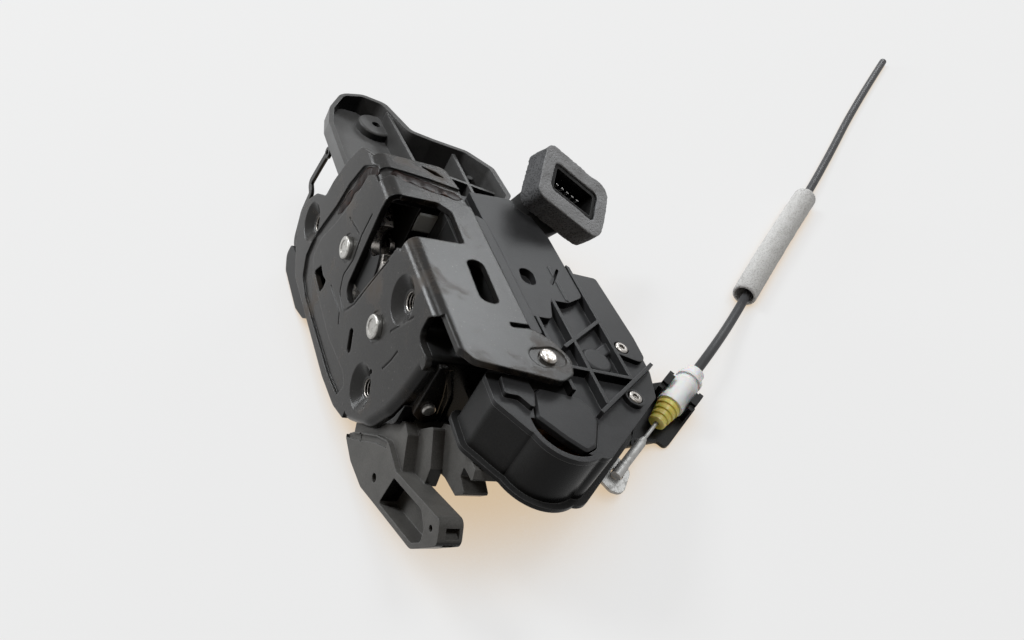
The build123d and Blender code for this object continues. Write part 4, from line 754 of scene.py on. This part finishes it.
class FinishBook:
    """Every finish of the unit, and the nodes that take it from the frame as they are."""

    def __init__(self) -> None:
        """Build all the materials."""
        # The colours for faces that point up paint top light as well as dusting, and the edge colours paint a
        # highlight as well as edge rubbing.
        self.housing = Moulding("black moulding", (0.0032, 0.0032, 0.0035)).build()
        self.cover = Moulding(
            "cover moulding", (0.0035, 0.0035, 0.004),
            dust_and_top_light=(0.12, 0.12, 0.123), dust_and_top_light_share=0.28, specular=0.12,
        ).build()
        self.arm = Moulding(
            "arm moulding", (0.006, 0.006, 0.0065),
            dust_and_top_light=(0.17, 0.168, 0.166), dust_and_top_light_share=0.6, specular=0.2,
        ).build()
        self.bracket = Moulding(
            "bracket moulding", (0.006, 0.0058, 0.0056), dust_and_top_light=(0.17, 0.164, 0.155), dust_and_top_light_share=0.55,
        ).build()
        self.face = CoatedSteel("coated bolt face", (0.005, 0.0046, 0.0042), (0.05, 0.035, 0.023)).build()
        self.lever_coat = CoatedSteel("coated lever", (0.008, 0.0075, 0.007), (0.025, 0.021, 0.018)).build()
        self.zinc = BareMetal(
            "dull zinc", (0.36, 0.35, 0.33), (0.17, 0.163, 0.15), smooth=0.34, rough=0.55, patch_scale=700.0,
        ).build()
        self.cast = BareMetal(
            "cast zinc", (0.36, 0.355, 0.345), (0.29, 0.285, 0.275), smooth=0.55, rough=0.68,
        ).build()
        self.bright = BareMetal(
            "bright steel", (0.72, 0.71, 0.69), (0.5, 0.49, 0.47), smooth=0.18, rough=0.35, dull_cover=0.42,
        ).build()
        self.hard = BareMetal("oiled steel", (0.34, 0.32, 0.3), (0.14, 0.12, 0.1)).build()
        self.brass = BareMetal("turned brass", (0.66, 0.5, 0.22), (0.4, 0.29, 0.13)).build()
        self.amber = Moulding(
            "amber moulding", (0.28, 0.085, 0.02), dust_and_top_light=(0.5, 0.2, 0.04), dust_and_top_light_share=0.6,
            rubbed_edge_highlight=(0.6, 0.3, 0.1), smooth=0.2, rough=0.4,
        ).build()
        self.natural = Moulding(
            "natural moulding", (0.42, 0.4, 0.34), dust_and_top_light=(0.3, 0.27, 0.2), rubbed_edge_highlight=(0.5, 0.48, 0.42),
        ).build()
        self.pale_rubber = Moulding(
            "pale rubber", (0.36, 0.37, 0.37), dust_and_top_light=(0.2, 0.2, 0.2), rough=0.7, rubbed_edge_highlight=(0.42, 0.43, 0.43),
        ).build()
        self.white = SoftPlastic("white moulding", (0.84, 0.84, 0.83), (0.76, 0.76, 0.75), 0.48).build()
        self.yellow = SoftPlastic("yellow soft moulding", (0.72, 0.62, 0.12), (0.85, 0.78, 0.36), 0.35).build()
        self.seal_foam = Foam(
            "seal foam", (0.08, 0.08, 0.083), (0.005, 0.005, 0.0055), (0.3, 0.3, 0.306),
        ).build()
        self.sleeve_foam = Foam(
            "sleeve foam", (0.58, 0.57, 0.56), (0.33, 0.32, 0.31), (0.5, 0.5, 0.49), pore_scale=1300.0,
        ).build()
        self.conduit = Moulding(
            "conduit jacket", (0.055, 0.055, 0.058), dust_and_top_light=(0.11, 0.11, 0.11),
            smooth=0.3, rough=0.45, rubbed_edge_highlight_share=0.0,
        ).build()
        self.grease = Grease().build()
        self.nodes_in: tuple[tuple[bpy.types.Material, tuple[str, ...]], ...] = (
            (self.face, ("latch_plate", "side_bracket")),
            (self.lever_coat, ("outer_lever",)),
            (self.zinc, ("side_rivet", "fork_rivet", "pawl_rivet", "lever_pin")),
            (self.cast, ("release_lever", "inner_wire")),
            (self.hard, (
                "tongue_rivet", "fork", "pawl", "fork_spring", "pawl_spring", "inner_plate",
                "cover_screw_1", "cover_screw_2",
            )),
            (self.bright, ("lock_motor", "connector_pins")),
            (self.brass, ("worm", "circuit_strip")),
            (self.housing, (
                "main_housing", "fork_housing", "pawl_housing", "wing_tray", "fork_jacket", "switch_cover",
                "switch_1", "switch_2", "cable_cradle", "connector_body", "outboard_guard",
            )),
            (self.cover, ("ribbed_cover", "drum_cap")),
            (self.arm, ("upper_arm",)),
            (self.bracket, ("lower_bracket",)),
            (self.pale_rubber, ("striker_buffer",)),
            (self.amber, ("lock_wheel",)),
            (self.natural, ("lock_slider",)),
            (self.yellow, ("cable_grommet",)),
            (self.white, ("cable_abutment",)),
        )

    def dress_frame(self) -> int:
        """Give the nodes of the frame their finish, and return how many there are."""
        for material, nodes in self.nodes_in:
            for node in nodes:
                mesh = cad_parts[node].data
                mesh.materials.clear()
                mesh.materials.append(material)
        return sum(len(nodes) for _, nodes in self.nodes_in)


# ---------------------------------------------------------------- cable
@dataclass
class ReleaseCable:
    """Conduit of the inside-handle cable with its foam sleeve, lying on the bench."""

    diameter: float = 4.0
    start: Triple = (120.492, -48.759, -11.156)
    lead: float = 13.0
    run: Triple = (0.704, 0.567, 0.428)
    route: tuple[Triple, ...] = (
        (133.7, -21.6, 5.2), (170.2, 10.6, 4.0), (209.9, 43.2, 4.0),
        (239.5, 69.5, 2.0), (280.6, 106.9, 2.0), (323.9, 142.4, 2.0),
    )
    length: float = 0.29
    sleeve_radius: float = 5.6
    sleeve_bore: float = 4.0
    sleeve_route: tuple[tuple[float, float], ...] = ((144.1, -11.4), (169.4, 10.4), (206.6, 40.3))
    sleeve_steps: int = 150
    sleeve_around: int = 72
    sleeve_skin: float = 0.15
    rim_rounding: float = 0.45
    mouth_flare: float = 0.3

    def points(self) -> list[Vector]:
        """Return the control points of the conduit."""
        first = AXES.point(*self.start)
        second = first + AXES.direction(*self.run) * self.lead * MM
        return [first, second] + [AXES.bench(*place) for place in self.route]

    def conduit(self, finish: bpy.types.Material) -> bpy.types.Object:
        """Make the conduit as a round curve.

        Args:
            finish: Material of the jacket.

        Returns:
            The conduit curve object.
        """
        curve = nurbs_curve("conduit_line", self.points(), 24)
        curve.bevel_depth = self.diameter / 2 * MM
        curve.bevel_resolution = 8
        curve.use_fill_caps = True
        curve.materials.append(finish)
        piece = bpy.data.objects.new("conduit_line", curve)
        bpy.context.scene.collection.objects.link(piece)
        return piece

    def sleeve(self, finish: bpy.types.Material) -> bpy.types.Object:
        """Make the foam sleeve as a thick-walled tube with a crushed, porous outside.

        Args:
            finish: Material of the foam.

        Returns:
            The sleeve.
        """
        control = [AXES.bench(x, y, self.sleeve_radius) for x, y in self.sleeve_route]
        line = spline_points(control, self.sleeve_steps)
        last = len(line) - 1

        def outer(index: int, angle: float) -> float:
            """Outside radius with lumps and a rounded rim."""
            place = Vector((line[index].x * 260, line[index].y * 260, angle * 0.9))
            lumps = noise.noise(place) * 0.16 + noise.noise(place * 6.0) * 0.07
            near = min(index, last - index) / 5.0
            rim = self.rim_rounding * max(0.0, 1.0 - near) ** 2
            return (self.sleeve_radius - 0.12 + lumps - rim) * MM

        def inner(index: int, angle: float) -> float:
            """Bore radius with a slightly flared mouth."""
            near = min(index, last - index) / 4.0
            return (self.sleeve_bore + self.mouth_flare * max(0.0, 1.0 - near) ** 2) * MM

        outside = rings_along(line, outer, self.sleeve_around)
        inside = rings_along(line, inner, self.sleeve_around)
        verts, faces = skin_rings(outside + inside[::-1], closed=True)
        piece = mesh_object("sleeve_tube", verts, faces)
        skin = piece.data.attributes.new("skin", "FLOAT", "POINT")
        skin.data.foreach_set("value", [self.sleeve_skin] * len(piece.data.vertices))
        piece.data.materials.append(finish)
        return piece

    def build(self, finishes: FinishBook) -> None:
        conduit = self.conduit(finishes.conduit)
        sleeve = self.sleeve(finishes.sleeve_foam)
        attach(conduit, "housing")
        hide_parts("cable_conduit")
        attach(sleeve, "housing")
        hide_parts("foam_sleeve")


# ---------------------------------------------------------------- connector seal
@dataclass
class ConnectorSeal:
    """Foam frame round the connector, with a closed skin in front, cut sides and one crushed corner."""

    voxel: float = 0.55
    coarse_lump: float = 0.45
    fine_lump: float = 0.1
    shrink: float = 0.3
    crush: float = 0.9
    crush_reach: float = 9.0
    skin_share: float = 0.85
    normal: Triple = (0.16, -0.47, 0.87)
    along: Triple = (0.93, -0.22, -0.29)
    mouth: Triple = (82.6, 27.9, 12.5)
    length: float = 38.0
    width: float = 29.0

    def build(self, finishes: FinishBook) -> None:
        """Build the seal from its solid, with softened edges and an uneven surface."""
        piece = merged_copy("connector_seal", "seal_frame")
        remesh = piece.modifiers.new("even", "REMESH")
        remesh.mode = "VOXEL"
        remesh.voxel_size = self.voxel * MM
        soften = piece.modifiers.new("soften", "SMOOTH")
        soften.iterations = 5
        soften.factor = 0.6
        plain_mesh(piece)
        mesh = piece.data
        origin, normal = AXES.point(*self.mouth), AXES.direction(*self.normal)
        along = AXES.direction(*self.along)
        across = normal.cross(along)
        skin = mesh.attributes.new("skin", "FLOAT", "POINT")
        values = []
        outward = [vertex.normal.copy() for vertex in mesh.vertices]
        for vertex, lift in zip(mesh.vertices, outward):
            away = vertex.co - origin
            height = away.dot(normal) / MM
            u, v = away.dot(along) / MM, away.dot(across) / MM
            coarse = noise.noise(vertex.co * 150.0) * self.coarse_lump
            lump = coarse + noise.noise(vertex.co * 700.0) * self.fine_lump
            vertex.co += lift * (lump - self.shrink) * MM
            away_corner = math.hypot(u - self.length / 2, v + self.width / 2)
            corner = max(0.0, 1.0 - away_corner / self.crush_reach)
            vertex.co -= (along - across * 0.6) * corner * self.crush * MM
            values.append(max(0.0, min(1.0, (height + 0.9) / 0.6)) * self.skin_share)
        skin.data.foreach_set("value", values)
        mesh.polygons.foreach_set("use_smooth", [True] * len(mesh.polygons))
        mesh.materials.clear()
        mesh.materials.append(finishes.seal_foam)
        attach(piece, "housing")
        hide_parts("connector_seal")


# ---------------------------------------------------------------- grease
@dataclass
class GreaseBead:
    """Bead of grease lying in a pressed groove."""

    name: str
    path: tuple[Triple, ...]
    outward: Triple
    half_width: float
    rise: float
    sink: float = 0.5
    steps: int = 26
    around: int = 16
    seed: float = 0.0

    def build(self, finish: bpy.types.Material) -> None:
        """Build the bead along its path and put it on the housing.

        Args:
            finish: Material of the grease.
        """
        line = spline_points([AXES.point(*place) for place in self.path], self.steps)
        up = AXES.direction(*self.outward)
        last = len(line) - 1
        rings: list[list[Vector]] = []
        for index, place in enumerate(line):
            ahead = (line[min(index + 1, last)] - line[max(index - 1, 0)]).normalized()
            side = ahead.cross(up).normalized()
            taper = math.sin(math.pi * min(1.0, (min(index, last - index) + 0.4) / 7.0) / 2)
            wander = noise.noise(place * 190.0 + Vector((self.seed, 0, 0)))
            width = self.half_width * (0.82 + 0.45 * wander) * taper
            height = self.rise * (0.75 + 0.8 * noise.noise(place * 330.0 + Vector((0, self.seed, 0)))) * taper
            ring = []
            for step in range(self.around):
                angle = math.tau * step / self.around
                lift = math.sin(angle) * (height if math.sin(angle) > 0 else self.sink * 0.6)
                ring.append(place + (side * math.cos(angle) * width + up * lift) * MM)
            rings.append(ring)
        piece = mesh_object(self.name, *skin_rings(rings))
        piece.data.materials.append(finish)
        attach(piece, "housing")


GREASE = (
    GreaseBead(
        "grease_channel", ((4.0, 29.5, -0.9), (11.0, 28.2, -0.9), (20.0, 26.0, -0.9), (33.0, 22.9, -0.9)),
        outward=(0.0, 0.0, 1.0), half_width=4.0, rise=0.5, seed=1.0,
    ),
    GreaseBead(
        "grease_face", ((0.9, 31.5, -3.2), (0.9, 41.0, -8.5), (0.9, 44.7, -20.5), (0.9, 50.0, -37.0)),
        outward=(-1.0, 0.0, 0.0), half_width=2.7, rise=0.3, seed=4.0,
    ),
)


# ---------------------------------------------------------------- threads in the fixing holes
@dataclass
class ThreadRings:
    """Rows of thread crests inside the collars of the three fixing holes."""

    centres: tuple[tuple[float, float], ...] = ((68.7, -55.7), (-26.9, -15.5), (-29.2, -56.1))
    radius: float = 3.4
    crest: float = 0.42
    first: float = 3.5
    pitch: float = 1.1
    turns: int = 4

    def tree(self, material: bpy.types.Material) -> bpy.types.NodeTree:
        """Build the geometry tree: one ring repeated along the hole, at every hole.

        Args:
            material: Material of the threads.

        Returns:
            The geometry node tree.
        """
        group = bpy.data.node_groups.new("thread rings", "GeometryNodeTree")
        face = group.interface
        face.new_socket("Geometry", in_out="INPUT", socket_type="NodeSocketGeometry")
        for label, value in (("Radius", self.radius), ("Crest", self.crest), ("Pitch", self.pitch)):
            socket = face.new_socket(label, in_out="INPUT", socket_type="NodeSocketFloat")
            socket.default_value = value * MM
        turns = face.new_socket("Turns", in_out="INPUT", socket_type="NodeSocketInt")
        turns.default_value = self.turns
        face.new_socket("Geometry", in_out="OUTPUT", socket_type="NodeSocketGeometry")
        bench = NodeBench(group)
        start, end = bench.add("NodeGroupInput"), bench.add("NodeGroupOutput")
        circle = bench.add("GeometryNodeCurvePrimitiveCircle", resolution=40)
        bench.link(start.outputs["Radius"], circle.inputs["Radius"])
        profile = bench.add("GeometryNodeCurvePrimitiveCircle", resolution=4, Radius=start.outputs["Crest"])
        ring = bench.add("GeometryNodeCurveToMesh", Curve=circle.outputs["Curve"])
        bench.link(profile.outputs["Curve"], ring.inputs["Profile Curve"])
        step = bench.add("ShaderNodeCombineXYZ", Z=start.outputs["Pitch"])
        row = bench.add("GeometryNodeMeshLine", mode="OFFSET", Count=start.outputs["Turns"])
        bench.link(step.outputs[0], row.inputs["Offset"])
        stack = bench.add("GeometryNodeInstanceOnPoints", Points=row.outputs["Mesh"])
        bench.link(ring.outputs["Mesh"], stack.inputs["Instance"])
        aim = bench.add("FunctionNodeAlignEulerToVector", axis="Z")
        aim.inputs["Vector"].default_value = AXES.direction(1, 0, 0)
        holes = bench.add("GeometryNodeInstanceOnPoints", Points=start.outputs["Geometry"])
        bench.link(stack.outputs["Instances"], holes.inputs["Instance"])
        bench.link(aim.outputs[0], holes.inputs["Rotation"])
        solid = bench.add("GeometryNodeRealizeInstances", Geometry=holes.outputs["Instances"])
        paint = bench.add("GeometryNodeSetMaterial")
        paint.inputs["Material"].default_value = material
        bench.link(solid.outputs["Geometry"], paint.inputs["Geometry"])
        bench.link(paint.outputs["Geometry"], end.inputs["Geometry"])
        return group

    def build(self, finishes: FinishBook) -> None:
        """Build the threads of all three holes as one mesh on the housing."""
        places = [AXES.point(self.first, y, z) for y, z in self.centres]
        mesh = bpy.data.meshes.new("collar_threads")
        mesh.from_pydata([tuple(place) for place in places], [], [])
        piece = bpy.data.objects.new("collar_threads", mesh)
        bpy.context.scene.collection.objects.link(piece)
        modifier = piece.modifiers.new("threads", "NODES")
        modifier.node_group = self.tree(finishes.hard)
        plain_mesh(piece)
        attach(piece, "housing")


# ---------------------------------------------------------------- studio
@dataclass(frozen=True)
class Lamp:
    """One square soft lamp."""

    name: str
    place: Triple
    size: float
    power: float

    def hang(self, aim: Triple, colour: Colour) -> None:
        """Hang the lamp.

        Args:
            aim: What it points at, in metres.
            colour: Colour of its light.
        """
        data = bpy.data.lights.new(self.name, "AREA")
        data.size = self.size
        data.energy = self.power
        data.color = colour
        lamp = bpy.data.objects.new(self.name, data)
        lamp.location = self.place
        lamp.rotation_euler = (Vector(aim) - Vector(self.place)).to_track_quat("-Z", "Y").to_euler()
        bpy.context.scene.collection.objects.link(lamp)


@dataclass
class Studio:
    """Camera, lamps, pale floor and pale surroundings."""

    eye: Triple = (-0.073313, -0.25565, 0.279722)
    right: Triple = (0.94584, -0.32464, -0.00036)
    up: Triple = (0.23257, 0.67681, 0.69845)
    back: Triple = (-0.22651, -0.6607, 0.71566)
    focal: float = 902.07
    frame_width: float = 1024.0
    sensor: float = 36.0
    floor_colour: Colour = (0.84, 0.84, 0.84)
    backdrop: Colour = (0.845, 0.845, 0.845)
    shadow_colour: Colour = (0.74, 0.55, 0.34)
    shadow_reach: float = 0.075
    shadow_side: Triple = (-0.55, 0.7, 0.45)
    shadow_start: float = 0.18
    shadow_full: float = 0.95
    even_share: float = 0.86
    key_colour: Colour = (0.95, 0.98, 1.0)
    fill_colour: Colour = (1.0, 0.83, 0.62)
    fill_strength: float = 0.1
    floor_half: float = 3.0
    middle: Triple = (0.05, 0.0, 0.04)
    lamps: tuple[Lamp, ...] = (
        Lamp("key", (-0.75, 1.1, 1.8), 0.6, 27.0),
        Lamp("top right", (0.75, -0.1, 1.7), 0.6, 13.0),
        Lamp("back right", (1.15, 1.05, 0.6), 0.5, 7.5),
        Lamp("back left", (-1.15, 1.05, 0.36), 0.5, 13.0),
    )

    def camera(self) -> None:
        """Place the camera."""
        data = bpy.data.cameras.new("bench camera")
        data.sensor_width = self.sensor
        data.lens = self.focal / self.frame_width * self.sensor
        data.clip_start = 0.01
        camera = bpy.data.objects.new("bench camera", data)
        turn = Matrix((self.right, self.up, self.back)).transposed().to_4x4()
        camera.matrix_world = Matrix.Translation(self.eye) @ turn
        bpy.context.scene.collection.objects.link(camera)
        bpy.context.scene.camera = camera

    @staticmethod
    def seen_rays(bench: NodeBench) -> bpy.types.NodeSocket:
        """Return 1 for rays of the camera, of reflections and of clear pieces, and 0 for lighting rays."""
        path = bench.add("ShaderNodeLightPath")
        mirrored = bench.maths("ADD", path.outputs["Is Camera Ray"], path.outputs["Is Glossy Ray"], clamp=True)
        return bench.maths("ADD", mirrored, path.outputs["Is Transmission Ray"], clamp=True)

    @staticmethod
    def mix_into(
        output: str, bench: NodeBench, share: bpy.types.NodeSocket, first: bpy.types.Node, second: bpy.types.Node
    ) -> None:
        """Mix two shaders into an output.

        Args:
            output: Name of the output node.
            bench: Node tree of the material or world.
            share: Share of the second shader.
            first: First shader.
            second: Second shader.
        """
        mix = bench.add("ShaderNodeMixShader")
        for socket, source in zip(mix.inputs, (share, first.outputs[0], second.outputs[0])):
            bench.link(source, socket)
        bench.link(mix.outputs[0], bench.tree.nodes[output].inputs["Surface"])

    def world(self) -> None:
        """Make plain surroundings: dimmer as light than they look."""
        world = bpy.data.worlds.new("studio")
        bpy.context.scene.world = world
        world.use_nodes = True
        bench = NodeBench(world.node_tree)
        lit = world.node_tree.nodes["Background"]
        lit.inputs["Color"].default_value = (*self.fill_colour, 1.0)
        lit.inputs["Strength"].default_value = self.fill_strength
        seen = bench.add("ShaderNodeBackground")
        seen.inputs["Color"].default_value = (*self.backdrop, 1.0)
        self.mix_into("World Output", bench, self.seen_rays(bench), lit, seen)

    def paper(self) -> bpy.types.Material:
        """Build the bench's paper: evenly pale to the camera, with a warm, light shadow."""
        material, bench, shader = start_material("bench paper")
        near = bench.add("ShaderNodeAmbientOcclusion", samples=12, only_local=False)
        near.inputs["Distance"].default_value = self.shadow_reach
        near.inputs["Normal"].default_value = self.shadow_side
        shade = bench.maths("SUBTRACT", 1.0, near.outputs["AO"], clamp=True)
        fall = bench.add("ShaderNodeMapRange", interpolation_type="SMOOTHSTEP", Value=shade)
        fall.inputs["From Min"].default_value = self.shadow_start
        fall.inputs["From Max"].default_value = self.shadow_full
        tone = bench.blend(fall.outputs["Result"], self.floor_colour, self.shadow_colour)
        bench.link(tone, shader.inputs["Base Color"])
        shader.inputs["Roughness"].default_value = 0.9
        shader.inputs["Specular IOR Level"].default_value = 0.05
        even = bench.add("ShaderNodeEmission", Color=tone)
        share = bench.maths("MULTIPLY", self.seen_rays(bench), self.even_share)
        self.mix_into("Material Output", bench, share, shader, even)
        return material

    def floor(self) -> None:
        """Lay the bench."""
        half = self.floor_half
        corners = [Vector((x * half, y * half, 0.0)) for x, y in ((-1, -1), (1, -1), (1, 1), (-1, 1))]
        piece = mesh_object("bench_top", corners, [[0, 1, 2, 3]])
        piece.data.materials.append(self.paper())

    def build(self) -> None:
        """Build the whole studio."""
        bpy.context.scene.view_settings.view_transform = "Standard"
        self.camera()
        self.world()
        for lamp in self.lamps:
            lamp.hang(self.middle, self.key_colour)
        self.floor()


# ---------------------------------------------------------------- whole unit
def main() -> None:
    """Build every piece in order and report it."""
    logging.basicConfig(level=logging.INFO, format="%(name)s: %(message)s")
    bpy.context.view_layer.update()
    Studio().build()
    LOG.info("studio ready")
    finishes = FinishBook()
    ReleaseCable().build(finishes)
    LOG.info("release cable and sleeve")
    LOG.info("%d frame nodes dressed", finishes.dress_frame())
    ConnectorSeal().build(finishes)
    LOG.info("connector seal")
    for bead in GREASE:
        bead.build(finishes.grease)
    LOG.info("%d grease beads", len(GREASE))
    ThreadRings().build(finishes)
    LOG.info("threads of the fixing holes")


if __name__ == "__main__":
    main()
